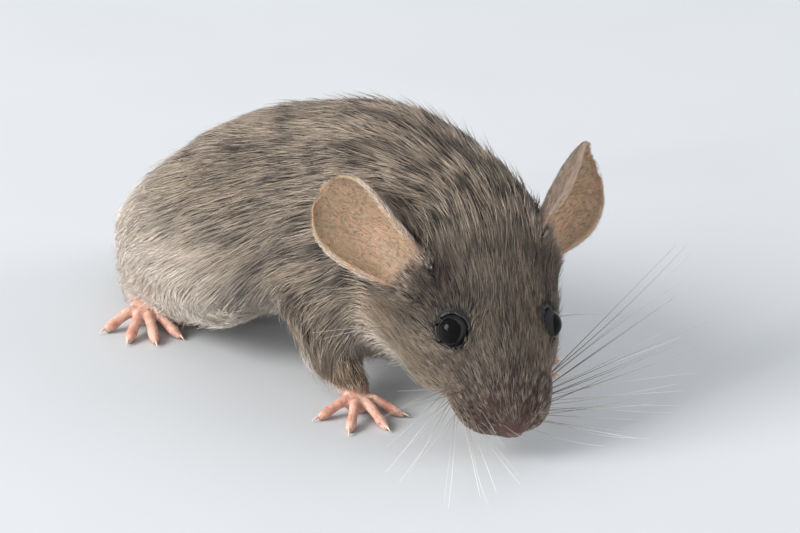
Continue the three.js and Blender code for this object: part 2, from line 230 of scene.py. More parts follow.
def lofted(rows, power, coat, local=None):
    table = np.array(rows)
    keys, curve = smoothRows(table, loft["steps"])
    low, high = keys[0], keys[-1]
    middle = np.array([0, (low + high) / 2, table[:, 2].mean()])
    reach = (high - low) / 2 + table[:, 3:6].max()

    def distance(points):
        spots = local(points) if local else points
        tuck = coat * np.interp(spots[:, 1], keys, curve[:, 5]) * ramp(spots[:, 1], high - loft["tuck"], high)
        along = spots[:, 1] + tuck
        cx, cz, half, rise, drop, depth = [np.interp(along, keys, column) for column in curve.T]
        dx, dz = spots[:, 0] - cx, spots[:, 2] - cz
        wide = np.maximum(half - coat * depth, 0.2)
        tall = np.maximum(np.where(dz > 0, rise, drop) - coat * depth, 0.2)
        rho = (np.abs(dx / wide) ** power + np.abs(dz / tall) ** power) ** (1 / power)
        side = (rho - 1) * np.minimum(wide, tall)
        beyond = np.maximum(low - along, along - high)
        return np.where(beyond > 0, np.hypot(np.maximum(side, 0), beyond), side)
    return {"distance": distance, "middle": fromHead(middle) if local else middle, "reach": reach}


def onTube(points, line):
    # distance to a chain of tapered lengths, the direction there and the run along it
    best = np.full(len(points), 1e3)
    ahead = np.zeros((len(points), 3))
    run = np.zeros(len(points))
    start = 0.0
    for a, b in zip(line[:-1], line[1:]):
        step = b[:3] - a[:3]
        length = np.linalg.norm(step)
        t = np.clip((points - a[:3]) @ step / length**2, 0, 1)
        away = points - a[:3] - t[:, None] * step
        value = np.sqrt((away**2).sum(1)) - (a[3] + t * (b[3] - a[3]))
        nearer = value < best
        best[nearer] = value[nearer]
        ahead[nearer] = step / length
        run[nearer] = start + t[nearer] * length
        start += length
    return best, ahead, run


def tube(line):
    line = np.array(line, float)
    middle = (line[:, :3].min(0) + line[:, :3].max(0)) / 2
    reach = (np.linalg.norm(line[:, :3] - middle, axis=1) + line[:, 3]).max()
    return {"distance": lambda points: onTube(points, line)[0], "middle": middle, "reach": reach}


def lessCoat(rows, coat):
    return [(*row[:3], max(row[3] - coat * row[4], 0.2)) for row in rows]


def ellipsoid(points, centre, radii):
    q = points - np.asarray(centre)
    near = np.sqrt(((q / radii) ** 2).sum(1))
    steep = np.sqrt(((q / np.square(radii)) ** 2).sum(1))
    return near * (near - 1) / np.maximum(steep, 1e-6)


def earAxes(ear):
    up = unit(np.array(ear["along"]))
    out = np.array(ear["open"])
    out = unit(out - out.dot(up) * up)
    return headTurn @ up, headTurn @ out, fromHead(ear["base"])


def inEar(points, ear):
    # share along, angle round the cup as a share of its wrap, distance from the middle sheet
    up, out, base = earAxes(ear)
    keys, curve = smoothRows(earSections, 121)
    q = points - base
    x, y, z = q @ np.cross(up, out), q @ up, q @ out
    share = np.clip(y / ear["length"], 0, 1)
    half, wrap, back = [np.interp(share, keys, column) for column in curve.T]
    wrap = np.radians(wrap)
    radius = np.maximum(half, 0.05) * ear["width"] / 2 / wrap
    z = z - radius - back
    angle = np.arctan2(x, -z)
    sheet = np.hypot(x, z) - radius
    edge = np.hypot(np.abs(x) - radius * np.sin(wrap), z + radius * np.cos(wrap))
    gap = np.where(np.abs(angle) < wrap, np.abs(sheet), edge)
    beyond = np.maximum(-y, y - ear["length"])
    gap = np.where(beyond > 0, np.hypot(np.maximum(gap, 0), beyond), gap)
    return share, angle / wrap, sheet, gap


def earRim(root):
    # 1 along the rim of each ear, and 1 on the side that faces back
    rim, behind = np.zeros(len(root)), np.zeros(len(root))
    for ear in ears.values():
        share, angle, sheet, gap = inEar(root, ear)
        near = gap < earSkin["near"]
        edge = np.maximum(ramp(np.abs(angle), 0.9, 0.99), ramp(share, 0.94, 0.99)) * ramp(share, 0.12, 0.25)
        rim[near] = ear["fringe"] * edge[near]
        behind[near] = (sheet > 0)[near]
    return rim, behind


def earPart(ear, coat, fat):
    up, _, base = earAxes(ear)
    inner = dict(ear, length=ear["length"] - 0.75 * coat, width=ear["width"] - 0.5 * coat)

    def distance(points):
        share, angle, sheet, gap = inEar(points, inner)
        thick = earSkin["thickness"] + (1 - coat) * earSkin["coat"]
        thick = thick * (1 + earSkin["root"] - earSkin["root"] * share)
        thick = thick * (1 - earSkin["sides"] * np.clip(np.abs(angle), 0, 1) ** 3)
        off = (np.abs(angle) - earSkin["beadPlace"]) / earSkin["beadWidth"]
        rim = earSkin["bead"] * np.exp(-off ** 2) * ramp(share, 0.1, 0.3)
        return (gap - thick / 2 - fat / 2 - rim * coat) * earSkin["caution"]
    return {"distance": distance, "middle": base + up * ear["length"] * 0.5, "reach": ear["length"] * 0.75}


def toeLines(foot):
    root = np.array(foot["sole"][-1][:2])
    lines = []
    for offset, length in zip(foot["spread"], foot["lengths"]):
        angle = math.radians(foot["heading"] + offset)
        ahead = np.array([math.cos(angle), math.sin(angle)])
        points = [(*(root + ahead * (0.8 + length * share)), height * foot["arch"], radius * foot["thick"])
                  for share, height, radius in toeProfile]
        lines.append(smoothLine(points, 3))
    return lines


eyeLids = {"mound": 2.0, "moundBack": 0.55, "ring": 1.6, "ringOut": 0.62, "ringThick": 0.22, "long": 1.06,
           "clear": 0.03, "reach": 5, "slit": (0, 1.0, 0.25), "moundBlend": 0.9, "ringBlend": 0.3,
           "ballBlend": 0.06}
# grooves in the head's frame: mouth on both sides and the cleft under the nose
mouth = {"line": [(0.0, 0.9, -2.0), (1.7, 2.9, -3.0), (3.0, 5.2, -3.3), (3.9, 7.6, -3.2)], "radius": 0.24,
         "cleftShare": 0.6, "blend": 0.25, "back": 9,
         "cleft": [(0.0, -0.1, -0.6), (0.0, 0.4, -1.5), (0.0, 0.9, -2.0)]}


def lidded(value, spots):
    # raises the lids round each eye and sinks the socket that the ball sits in
    for side in (-1, 1):
        facing = unit(mirrored(eyeBall["facing"], side))
        q = spots - mirrored(eyeBall["place"], side)
        near = (q**2).sum(1) < eyeLids["reach"]**2
        if not near.any():
            continue
        q = q[near]
        slit = np.array(eyeLids["slit"])
        along = unit(slit - facing * facing.dot(slit))
        height, across = q @ facing, q @ np.cross(facing, along)
        around = np.hypot(q @ along / eyeLids["long"], across)
        mound = np.linalg.norm(q + facing * eyeLids["moundBack"], axis=1) - eyeLids["mound"]
        ring = np.hypot(around - eyeLids["ring"], height - eyeLids["ringOut"]) - eyeLids["ringThick"]
        ball = np.linalg.norm(q, axis=1) - eyeBall["radius"] - eyeLids["clear"]
        here = smoothMin(value[near], mound, eyeLids["moundBlend"])
        here = smoothMin(here, ring, eyeLids["ringBlend"])
        value[near] = smoothMax(here, -ball, eyeLids["ballBlend"])
    return value


def headPart(coat, fine):
    skull = lofted(bodyShape["head"], loft["headPower"], coat, toHead)
    grooves = [np.array([(side * x, y, z, mouth["radius"]) for x, y, z in mouth["line"]]) for side in (-1, 1)]
    grooves.append(np.array([(*spot, mouth["radius"] * mouth["cleftShare"]) for spot in mouth["cleft"]]))

    def distance(points):
        spots = toHead(points)
        value = skull["distance"](points)
        for name in ("cheek", "pad"):
            form = bodyShape[name]
            for side in (-1, 1):
                radii = np.array(form["radii"]) - coat * form["coat"]
                value = smoothMin(value, ellipsoid(spots, mirrored(form["place"], side), radii), blends[name])
        if fine:
            value = lidded(value, spots)
            near = spots[:, 1] < mouth["back"]
            for line in grooves:
                value[near] = smoothMax(value[near], -onTube(spots[near], line)[0], mouth["blend"])
        return value
    return {"distance": distance, "middle": skull["middle"], "reach": skull["reach"]}


def bodyParts(coat, fat=0.0, fine=False):
    # coat 1 gives the skin and coat 0 the tips of the fur
    shape, parts = bodyShape, {}

    def add(name, part, kind):
        parts[name] = dict(part, blend=blends[kind])
    add("trunk", lofted(shape["trunk"], loft["trunkPower"], coat), "trunk")
    neck = [(*fromHead(shape["nape"]), *shape["napeSize"]), *shape["neckEnd"]]
    add("neck", tube(lessCoat(neck, coat)), "neck")
    for name, rows in shape["legs"].items():
        add(name, tube(lessCoat(rows, coat)), name.split("_")[0])
    add("head", headPart(coat, fine), "head")
    tail = smoothLine(lessCoat(shape["tail"], coat), tailSteps)
    for i, start in enumerate(range(0, len(tail) - 1, tailSteps)):
        add(f"tail_{i}", tube(tail[start:start + tailSteps + 1]), "tailRoot" if i < 2 else "tail")
    for name, foot in feet.items():
        add(name, tube(foot["sole"]), "foot")
        for i, line in enumerate(toeLines(foot)):
            add(f"{name}_toe_{i}", tube(line), "toe")
    for name, ear in ears.items():
        add(name, earPart(ear, coat, fat), "ear")
    return parts


def fieldOf(parts):
    # one field from all the parts, negative inside, cut off flat at the floor
    outside, margin, floor = 9.0, 2.5, 0.02

    def field(points):
        value = np.full(len(points), outside)
        for part in parts.values():
            span = part["reach"] + part["blend"] + margin
            near = np.flatnonzero(((points - part["middle"]) ** 2).sum(1) < span**2)
            if len(near):
                value[near] = smoothMin(value[near], part["distance"](points[near]), part["blend"])
        return np.maximum(value, floor - points[:, 2])
    return field


def feel(field, points, step=0.03):
    # value and slope of the field from four samples round each point
    value = np.zeros(len(points))
    slope = np.zeros((len(points), 3))
    for corner in ((1, -1, -1), (-1, -1, 1), (-1, 1, -1), (1, 1, 1)):
        here = field(points + np.array(corner) * step)
        value += here / 4
        slope += here[:, None] * np.array(corner) / (4 * step)
    return value, slope


def settle(points, field, height=0.0, rounds=3, most=0.5):
    # brings the points to a height over the surface and gives the outward direction there
    for _ in range(rounds):
        value, slope = feel(field, points)
        steep = np.maximum(np.linalg.norm(slope, axis=1), 0.3)
        move = np.clip((value - height) / steep, -most, most)
        points = points - unit(slope) * move[:, None]
    return points, unit(slope)


def netOver(field, low, high, cell):
    # a mesh of quads round the inside of the field, split into triangles
    low, high = np.array(low, float), np.array(high, float)
    counts = np.ceil((high - low) / cell).astype(int) + 1
    axes = [low[i] + cell * np.arange(counts[i]) for i in range(3)]
    grid = np.stack(np.meshgrid(*axes, indexing="ij"), -1).reshape(-1, 3)
    value = field(grid).reshape(counts)
    solid = value < 0
    corners = [(i, j, k) for i in (0, 1) for j in (0, 1) for k in (0, 1)]
    spans = [tuple(slice(c[a], counts[a] - 1 + c[a]) for a in range(3)) for c in corners]
    total = sum(solid[span].astype(np.int8) for span in spans)
    cells = np.argwhere((total > 0) & (total < 8))
    number = np.full(total.shape, -1, np.int64)
    number[tuple(cells.T)] = np.arange(len(cells))
    at = [value[tuple((cells + c).T)] for c in corners]
    sums, hits = np.zeros((len(cells), 3)), np.zeros(len(cells))
    for a in range(8):
        for b in range(a + 1, 8):
            ca, cb = np.array(corners[a]), np.array(corners[b])
            if np.abs(ca - cb).sum() != 1:
                continue
            crossed = (at[a] < 0) != (at[b] < 0)
            t = np.where(crossed, at[a] / np.where(crossed, at[a] - at[b], 1), 0)
            sums += np.where(crossed[:, None], ca + t[:, None] * (cb - ca), 0)
            hits += crossed
    points = low + (cells + sums / hits[:, None]) * cell
    quads = []
    for axis in range(3):
        u, w = (axis + 1) % 3, (axis + 2) % 3
        near, far = [slice(1, -1)] * 3, [slice(1, -1)] * 3
        near[axis], far[axis] = slice(0, -1), slice(1, None)
        here, there = solid[tuple(near)], solid[tuple(far)]
        edge = np.argwhere(here != there)
        leaving = here[tuple(edge.T)]
        edge[:, u] += 1
        edge[:, w] += 1
        loop = []
        for du, dw in ((-1, -1), (0, -1), (0, 0), (-1, 0)):
            spot = edge.copy()
            spot[:, u] += du
            spot[:, w] += dw
            loop.append(number[tuple(spot.T)])
        loop = np.stack(loop, 1)
        loop[~leaving] = loop[~leaving][:, ::-1]
        quads.append(loop)
    quads = np.concatenate(quads)
    return points, np.concatenate([quads[:, [0, 1, 2]], quads[:, [0, 2, 3]]])


def edgesOf(faces, count):
    pairs = np.sort(np.concatenate([faces[:, [0, 1]], faces[:, [1, 2]], faces[:, [2, 0]]]), axis=1)
    keys, back = np.unique(pairs[:, 0] * count + pairs[:, 1], return_inverse=True)
    return np.stack([keys // count, keys % count], 1), back.reshape(3, -1).T


def refined(points, faces, chosen):
    # halves every edge of the chosen triangles and keeps the mesh closed round them
    edges, of = edgesOf(faces, len(points))
    cut = np.zeros(len(edges), bool)
    cut[of[chosen].ravel()] = True
    names = np.where(cut, np.cumsum(cut) - 1 + len(points), -1)[of]
    count = (names >= 0).sum(1)
    made = [faces[count == 0]]
    for k in range(3):
        one = (count == 1) & (names[:, k] >= 0)
        a, b, c = [faces[one][:, (k + i) % 3] for i in range(3)]
        q = names[one][:, k]
        made += [np.stack([a, q, c], 1), np.stack([q, b, c], 1)]
        two = (count == 2) & (names[:, k] < 0)
        a, b, c = [faces[two][:, (k + i) % 3] for i in range(3)]
        p, q = names[two][:, (k + 1) % 3], names[two][:, (k + 2) % 3]
        made += [np.stack([a, b, p], 1), np.stack([a, p, q], 1), np.stack([q, p, c], 1)]
    full = count == 3
    (a, b, c), (ab, bc, ca) = faces[full].T, names[full].T
    made += [np.stack(rows, 1) for rows in ((a, ab, ca), (ab, b, bc), (ca, bc, c), (ab, bc, ca))]
    return np.concatenate([points, points[edges[cut]].mean(1)]), np.concatenate(made)


def averaged(values, edges, count):
    # each vertex takes the mean of its neighbours
    total = np.zeros((count, values.shape[1]))
    for i in range(values.shape[1]):
        total[:, i] = np.bincount(edges[:, 0], values[edges[:, 1], i], count)
        total[:, i] += np.bincount(edges[:, 1], values[edges[:, 0], i], count)
    hits = np.bincount(edges.ravel(), minlength=count)
    return total / np.maximum(hits, 1)[:, None]


skinParts = bodyParts(1.0, fine=True)
skinField = fieldOf(skinParts)
furField = fieldOf(bodyParts(0.0))
skinNet = {"low": (-21, -41, -0.9), "high": (32.4, 35, 34), "cell": 0.6, "fat": 0.62, "relax": 2, "onHead": 0.6}
# triangles nearer than this are halved, round after round; face counts from the tip of the nose
finer = [{"ears": 0.9, "feet": 0.5, "tail": 0.3, "face": 15},
         {"ears": 0.7, "feet": 0.25, "tailEnd": 0.3, "face": 2.6, "eye": 3.2},
         {"eye": 2.55}]


def nearest(points, names):
    return np.min([skinParts[name]["distance"](points) for name in names], axis=0)


tailNames = [name for name in skinParts if name.startswith("tail")]
footNames = [name for name in skinParts if "foot" in name]
legNames = list(bodyShape["legs"])
tailLine = smoothLine(lessCoat(bodyShape["tail"], 1.0), tailSteps)


def onTail(points):
    return onTube(points, tailLine)


def eyeGap(spots):
    return np.min([np.linalg.norm(spots - mirrored(eyeBall["place"], side), axis=1)
                   for side in (-1, 1)], axis=0)


def makeSkinShape():
    coarse = fieldOf(bodyParts(1.0, fat=skinNet["fat"]))
    points, faces = netOver(coarse, skinNet["low"], skinNet["high"], skinNet["cell"])
    points, _ = settle(points, skinField, rounds=4)
    for level, limits in enumerate(finer):
        middle = points[faces].mean(1)
        spots = toHead(middle)
        chosen = np.zeros(len(faces), bool)
        for key, names in (("feet", footNames), ("tail", tailNames), ("tailEnd", tailNames[-3:])):
            if key in limits:
                chosen |= nearest(middle, names) < limits[key]
        if "ears" in limits:
            near = nearest(middle, ears) < limits["ears"]
            chosen |= near if level == 0 else near & (earRim(middle)[0] > 0)
        if "face" in limits:
            head = skinParts["head"]["distance"](middle) < skinNet["onHead"]
            chosen |= head & (spots[:, 1] < limits["face"])
        if "eye" in limits:
            chosen |= eyeGap(spots) < limits["eye"]
        points, faces = refined(points, faces, chosen)
        edges, _ = edgesOf(faces, len(points))
        for _ in range(skinNet["relax"]):
            points = points + 0.5 * (averaged(points, edges, len(points)) - points)
            points, outward = settle(points, skinField, rounds=2, most=0.3)
    points, outward = settle(points, skinField, rounds=2, most=0.2)
    return points, outward, faces


skinPoints, skinOut, skinFaces = makeSkinShape()
print("skin shape:", len(skinPoints), "points", len(skinFaces), "triangles")


# The lie of the coat: from the nose back over the body and down the limbs
lie = {"source": (0.0, -2.0, -0.6), "back": (0.0, 1.0, 0.05), "soften": 14,
       "eyePush": 1.1, "eyeEdge": 1.7, "eyeFade": 1.3, "fade": 1.2, "foot": 2.0, "tail": 1.5, "ear": 3.0}


def limbLie(points, name):
    rows = lessCoat(bodyShape["legs"][name], 1.0)
    return onTube(points, np.array(rows))[1]


def lieOfCoat(points, outward, faces):
    spots = toHead(points)
    fan = unit(spots - np.array(lie["source"]))
    back = np.tile(lie["back"], (len(points), 1))
    share = ramp(spots[:, 1], 9, 20)[:, None]
    face = fan * (1 - share) + back * share
    for side in (-1, 1):
        away = spots - mirrored(eyeBall["place"], side)
        gap = np.linalg.norm(away, axis=1)
        push = lie["eyePush"] * np.exp(-(gap - lie["eyeEdge"]) / lie["eyeFade"])
        face = face + unit(away) * push[:, None]
    weights, ways = [], []

    def weigh(gap, way, scale=1.0):
        weights.append(np.exp(-np.maximum(gap, -1.0) / lie["fade"]) * scale)
        ways.append(unit(way))
    weigh(skinParts["head"]["distance"](points), unit(face) @ headTurn.T)
    rump = ramp(points[:, 1], 14, 25)
    side = np.clip(points[:, 0] / 12, -1, 1)
    low = np.clip((15 - points[:, 2]) / 12, -0.4, 1)
    steep = 0.2 + 0.55 * np.abs(side) + 0.15 * low * np.abs(side) + 0.25 * rump
    trunk = np.stack([-side * (0.05 + 0.8 * rump), 1.0 - 0.3 * rump, -steep], 1)
    weigh(skinParts["trunk"]["distance"](points), trunk)
    neck = np.stack([0.15 + 0 * side, 1.0 + 0 * side, -0.1 - 0.5 * ramp(-points[:, 0], 3, 11)], 1)
    weigh(skinParts["neck"]["distance"](points), neck)
    for name in legNames:
        weigh(skinParts[name]["distance"](points), limbLie(points, name), 1.0 - 0.6 * ramp(points[:, 2], 5, 11))
    for name, foot in feet.items():
        ahead = math.radians(foot["heading"])
        weigh(nearest(points, [n for n in footNames if n.startswith(name)]),
              np.tile([math.cos(ahead), math.sin(ahead), -0.3], (len(points), 1)), lie["foot"])
    gap, ahead, _ = onTail(points)
    weigh(gap, ahead, lie["tail"])
    for ear in ears.values():
        up, _, base = earAxes(ear)
        fan = unit(points - base + up * 5.0)
        weigh(inEar(points, ear)[3] - 0.3, fan, lie["ear"])
    weights = np.array(weights)
    weights = weights**2 / (weights**2).sum(0)
    way = sum(w[:, None] * v for w, v in zip(weights, ways))
    edges, _ = edgesOf(faces, len(points))
    for _ in range(lie["soften"]):
        way = way + averaged(way, edges, len(points))
        way = unit(way - (way * outward).sum(1)[:, None] * outward)
    return way


skinLie = lieOfCoat(skinPoints, skinOut, skinFaces)


# Markings and painted light, worked out from places on the body, shared by the skin and the coat: how strong
# each one is. The rump's lighter edge is painted backlight, and the darkening of the face and jaw is partly
# painted shade
markAndLightSet = {"rump": 0.95, "chin": 0.4, "flank": 0.55, "cheek": 0.7, "tanRipple": 0.22, "face": 0.78, "jaw": 0.75,
           "brow": 0.3, "spine": 0.42, "streak": 0.5, "shoulder": 0.16, "darkRipple": 0.12}


def markingsAndPaintedLightAt(points, outward):
    # places are millimetres along the body's axes, or along the head's own
    spots = toHead(points)
    inHead = fall(skinParts["head"]["distance"](points), -0.2, 1.5) * fall(spots[:, 1], 17, 24)
    inBody = 1 - inHead
    under = fall(outward[:, 2], -0.75, 0.05) * fall(points[:, 2], 6, 14)
    # the lower rear of the body is painted lighter: painted backlight, as from a lamp behind the mouse
    rumpPaintedLight = ramp(points[:, 1], -6, 9) * fall(points[:, 2], 11, 22)
    chin = inHead * fall((outward @ headTurn)[:, 2], -0.95, -0.5)
    # pale holds the paler belly and chin, and the painted backlight on the rump
    pale = np.clip(under * inBody + markAndLightSet["rump"] * rumpPaintedLight + markAndLightSet["chin"] * chin, 0, 1)
    # the lower side of the head is darker as well: partly the hair's own tone, partly painted shade
    jaw = inHead * fall(spots[:, 2], -2.5, 2.5) * fall(spots[:, 1], 15, 21)
    flank = ramp(np.abs(points[:, 0]), 6, 12) * fall(points[:, 2], 7, 17) * inBody
    cheek = inHead * ramp(np.abs(spots[:, 0]), 3.5, 7.5) * fall(spots[:, 2], -1.5, 3.5)
    tan = markAndLightSet["flank"] * flank + markAndLightSet["cheek"] * cheek + markAndLightSet["tanRipple"] * ripple(points, 9, 11)
    # darker over the top of the face, partly the hair's own tone and partly painted shade, darkest in front of
    # the ears, and along the spine
    face = inHead * ramp(spots[:, 2], -4.0, 1.5) * fall(spots[:, 1], 16, 22)
    brow = face * ramp(spots[:, 1], 12, 16) * ramp(np.abs(spots[:, 0]), 2.5, 6.5)
    spine = fall(np.abs(points[:, 0]), 3, 12) * ramp(points[:, 2], 15, 25) * inBody
    # slate streaks across the shoulders, drawn out along the lie
    stretched = points * (1.0, 0.3, 1.0) + (0, 0, 1) * points[:, 1:2] * 0.15
    shoulder = fall(points[:, 1], -4, 10) * ramp(points[:, 2], 8, 17) * inBody
    streak = shoulder * ramp(ripple(stretched, 3.2, 15), 0.1, 0.9)
    # dark holds the real darker spine, streaks and patches, and the painted shade over the face and jaw
    dark = markAndLightSet["face"] * face + markAndLightSet["jaw"] * jaw * (1 - face) + markAndLightSet["brow"] * brow
    dark = dark + markAndLightSet["spine"] * spine + markAndLightSet["streak"] * streak + markAndLightSet["shoulder"] * shoulder
    dark = dark + markAndLightSet["darkRipple"] * ripple(points, 6, 12)
    muzzle = inHead * fall(spots[:, 1], 2.5, 8.0)
    return {"pale": pale, "tan": np.clip(tan, 0, 1), "dark": np.clip(dark, 0, 1), "muzzle": muzzle}


def barenessAt(points):
    # 1 on ears, feet, tail and lids, 0 under the coat
    spots = toHead(points)
    share = np.max([inEar(points, ear)[0] for ear in ears.values()], axis=0)
    ear = fall(nearest(points, ears), 0.1, 0.9) * ramp(share, 0.02, 0.2)
    foot = fall(nearest(points, footNames), 0.1, 0.8)
    tail = fall(nearest(points, tailNames), 0.05, 0.5) * ramp(onTail(points)[2], 2.5, 7)
    lid = fall(eyeGap(spots), 2.2, 2.45)
    return {"ear": ear, "foot": foot, "tail": tail, "lid": lid}


skinMarksAndLight = markingsAndPaintedLightAt(skinPoints, skinOut)
skinBare = barenessAt(skinPoints)


# Meshes
def meshFrom(name, points, faces, material, values=None, uv=None, flat=False):
    mesh = bpy.data.meshes.new(name)
    mesh.vertices.add(len(points))
    mesh.vertices.foreach_set("co", toFrame(points).astype(np.float32).ravel())
    mesh.loops.add(faces.size)
    mesh.loops.foreach_set("vertex_index", faces.astype(np.int32).ravel())
    mesh.polygons.add(len(faces))
    mesh.polygons.foreach_set("loop_start", np.arange(0, faces.size, faces.shape[1], dtype=np.int32))
    mesh.update(calc_edges=True)
    if not flat:
        mesh.shade_smooth()
    for key, value in (values or {}).items():
        layer = mesh.attributes.new(key, "FLOAT", "POINT")
        layer.data.foreach_set("value", np.asarray(value, np.float32))
    if uv is not None:
        layer = mesh.uv_layers.new(name="OFBake")
        layer.uv.foreach_set("vector", uv.astype(np.float32).ravel())
    mesh.materials.append(material)
    piece = bpy.data.objects.new(name, mesh)
    bpy.context.scene.collection.objects.link(piece)
    return piece


def belongs(piece):
    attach(piece, "root")


# Shader helpers: an input may be a number, a colour or another node's output
def setInputs(tree, made, inputs):
    for key, value in inputs.items():
        socket = made.inputs[key]
        if isinstance(value, bpy.types.NodeSocket):
            tree.links.new(value, socket)
        else:
            socket.default_value = (*value, 1) if socket.type == "RGBA" else value
    return made


def place(tree, kind, inputs, **settings):
    made = tree.nodes.new(kind)
    for key, value in settings.items():
        setattr(made, key, value)
    return setInputs(tree, made, inputs)


def mixed(tree, factor, first, second):
    return place(tree, "ShaderNodeMix", {0: factor, 6: first, 7: second}, data_type="RGBA").outputs[2]


def maths(tree, operation, first, second=0.0):
    return place(tree, "ShaderNodeMath", {0: first, 1: second}, operation=operation).outputs[0]


def times(tree, first, second):
    return maths(tree, "MULTIPLY", first, second)


def ranged(tree, value, low, high, newLow=0.0, newHigh=1.0):
    inputs = {"Value": value, "From Min": low, "From Max": high, "To Min": newLow, "To Max": newHigh}
    return place(tree, "ShaderNodeMapRange", inputs, interpolation_type="SMOOTHSTEP").outputs[0]


def inObject(tree):
    return tree.nodes.new("ShaderNodeTexCoord").outputs["Object"]


# sizes of patterns are in millimetres
def noise(tree, size, detail=2.0):
    inputs = {"Vector": inObject(tree), "Scale": 1 / (size * mm), "Detail": detail, "Roughness": 0.5}
    return place(tree, "ShaderNodeTexNoise", inputs).outputs["Fac"]


def cellEdges(tree, spot, size):
    inputs = {"Vector": spot, "Scale": 1 / (size * mm)}
    return place(tree, "ShaderNodeTexVoronoi", inputs, feature="DISTANCE_TO_EDGE").outputs["Distance"]


def bumped(tree, height, strength, depth):
    inputs = {"Strength": strength, "Distance": depth * mm, "Height": height}
    return place(tree, "ShaderNodeBump", inputs).outputs["Normal"]


def reading(tree, name):
    return place(tree, "ShaderNodeAttribute", {}, attribute_name=name).outputs["Fac"]


def readings(tree, keys):
    # the mesh's values that carry the same names as a group's inputs
    return {key: reading(tree, key[0].lower() + key[1:]) for key in keys}


def newGroup(name, inputs, outputs):
    # every socket is a number except the colour
    tree = bpy.data.node_groups.new(name, "ShaderNodeTree")
    for keys, way in ((inputs, "INPUT"), (outputs, "OUTPUT")):
        for key in keys:
            kind = "NodeSocketColor" if key == "Color" else "NodeSocketFloat"
            tree.interface.new_socket(name=key, in_out=way, socket_type=kind)
    return tree, tree.nodes.new("NodeGroupInput").outputs, tree.nodes.new("NodeGroupOutput")


def useGroup(tree, group, inputs):
    made = tree.nodes.new("ShaderNodeGroup")
    made.node_tree = group
    return setInputs(tree, made, inputs).outputs


def newMaterial(name, settings):
    made = bpy.data.materials.new(name)
    made.use_nodes = True
    tree = made.node_tree
    return made, tree, setInputs(tree, tree.nodes["Principled BSDF"], settings)


def scatter(weight, radius, size):
    # light that passes a little way through
    return {"Subsurface Weight": weight, "Subsurface Radius": radius, "Subsurface Scale": size * mm}


coatColours = {
    "rootDark": (0.030, 0.029, 0.031), "rootPale": (0.50, 0.43, 0.37),
    "bandLow": (0.22, 0.168, 0.122), "bandHigh": (0.66, 0.54, 0.425),
    "tanLow": (0.24, 0.168, 0.107), "tanHigh": (0.58, 0.43, 0.285), "bandPale": (0.94, 0.84, 0.74),
    "darkLow": (0.024, 0.017, 0.013), "darkHigh": (0.184, 0.136, 0.097), "tip": (0.11, 0.086, 0.068),
    "muzzleLow": (0.048, 0.021, 0.015), "muzzleHigh": (0.58, 0.46, 0.36),
}


# along the hair, root to tip: where the band takes over from the root and where a dark tip begins
coatBands = {"band": (0.18, 0.62), "tip": (0.82, 1.0), "tipShade": (0.6, 0.2), "tipped": 0.8,
             "shade": (0.05, 1.0), "rare": 2.4, "muzzle": 0.9, "rough": (0.72, 0.5)}
markAndLightInputs = ("Pale", "Tan", "Dark", "Muzzle")


def makeCoatGroup():
    tree, get, out = newGroup("bandedHair", ("Along", "Shade", *markAndLightInputs), ("Color", "Roughness"))
    colours, bands = coatColours, coatBands
    shade = ranged(tree, get["Shade"], *bands["shade"])
    band = mixed(tree, shade, colours["bandLow"], colours["bandHigh"])
    band = mixed(tree, get["Tan"], band, mixed(tree, shade, colours["tanLow"], colours["tanHigh"]))
    # Dark darkens the real dark places, and paints shade over the face and jaw
    band = mixed(tree, get["Dark"], band, mixed(tree, shade, colours["darkLow"], colours["darkHigh"]))
    rare = maths(tree, "POWER", get["Shade"], bands["rare"])
    muzzle = mixed(tree, rare, colours["muzzleLow"], colours["muzzleHigh"])
    band = mixed(tree, times(tree, get["Muzzle"], bands["muzzle"]), band, muzzle)
    # Pale lightens the belly and the chin, and paints backlight on the rump
    band = mixed(tree, get["Pale"], band, colours["bandPale"])
    root = mixed(tree, get["Pale"], colours["rootDark"], colours["rootPale"])
    colour = mixed(tree, ranged(tree, get["Along"], *bands["band"]), root, band)
    tipped = times(tree, ranged(tree, get["Along"], *bands["tip"]),
                   ranged(tree, get["Shade"], *bands["tipShade"]))
    tipped = times(tree, tipped, maths(tree, "SUBTRACT", 1.0, get["Pale"]))
    colour = mixed(tree, times(tree, tipped, bands["tipped"]), colour, colours["tip"])
    setInputs(tree, out, {"Color": colour, "Roughness": ranged(tree, get["Along"], 0.0, 1.0, *bands["rough"])})
    return tree


coatGroup = makeCoatGroup()


def makeCoatMaterial():
    made, tree, shader = newMaterial("mouseHair", {
        "Specular IOR Level": 0.35, "Sheen Weight": 0.12, "Sheen Roughness": 0.5})
    coat = useGroup(tree, coatGroup, readings(tree, ("Along", "Shade", *markAndLightInputs)))
    setInputs(tree, shader, {"Base Color": coat["Color"], "Roughness": coat["Roughness"]})
    return made


bareColours = {
    "pink": (0.68, 0.45, 0.36), "deep": (0.53, 0.24, 0.175), "tailPink": (0.52, 0.36, 0.30),
    "tailGrey": (0.30, 0.235, 0.205), "ear": (0.38, 0.265, 0.165), "earDark": (0.28, 0.195, 0.12),
    "earBack": (0.22, 0.16, 0.125), "earPink": (0.54, 0.335, 0.225), "lid": (0.010, 0.009, 0.010),
    "muzzle": (0.10, 0.042, 0.033),
}
# sizes and spacings in millimetres, then how deep each relief is beside the others
bareRelief = {"blotch": 1.3, "grain": 0.16, "ring": 0.62, "stipple": 0.09, "bend": 2.5, "bendBy": 1.2,
              "vein": 3.4, "crease": 0.42, "veinShows": 0.28, "ringDepth": 1.3, "grainDepth": 0.7,
              "rough": 0.52, "lidRough": 0.45}
bareInputs = ("Ear", "EarDepth", "EarBack", "Foot", "Tail", "TailRun", "Lid")


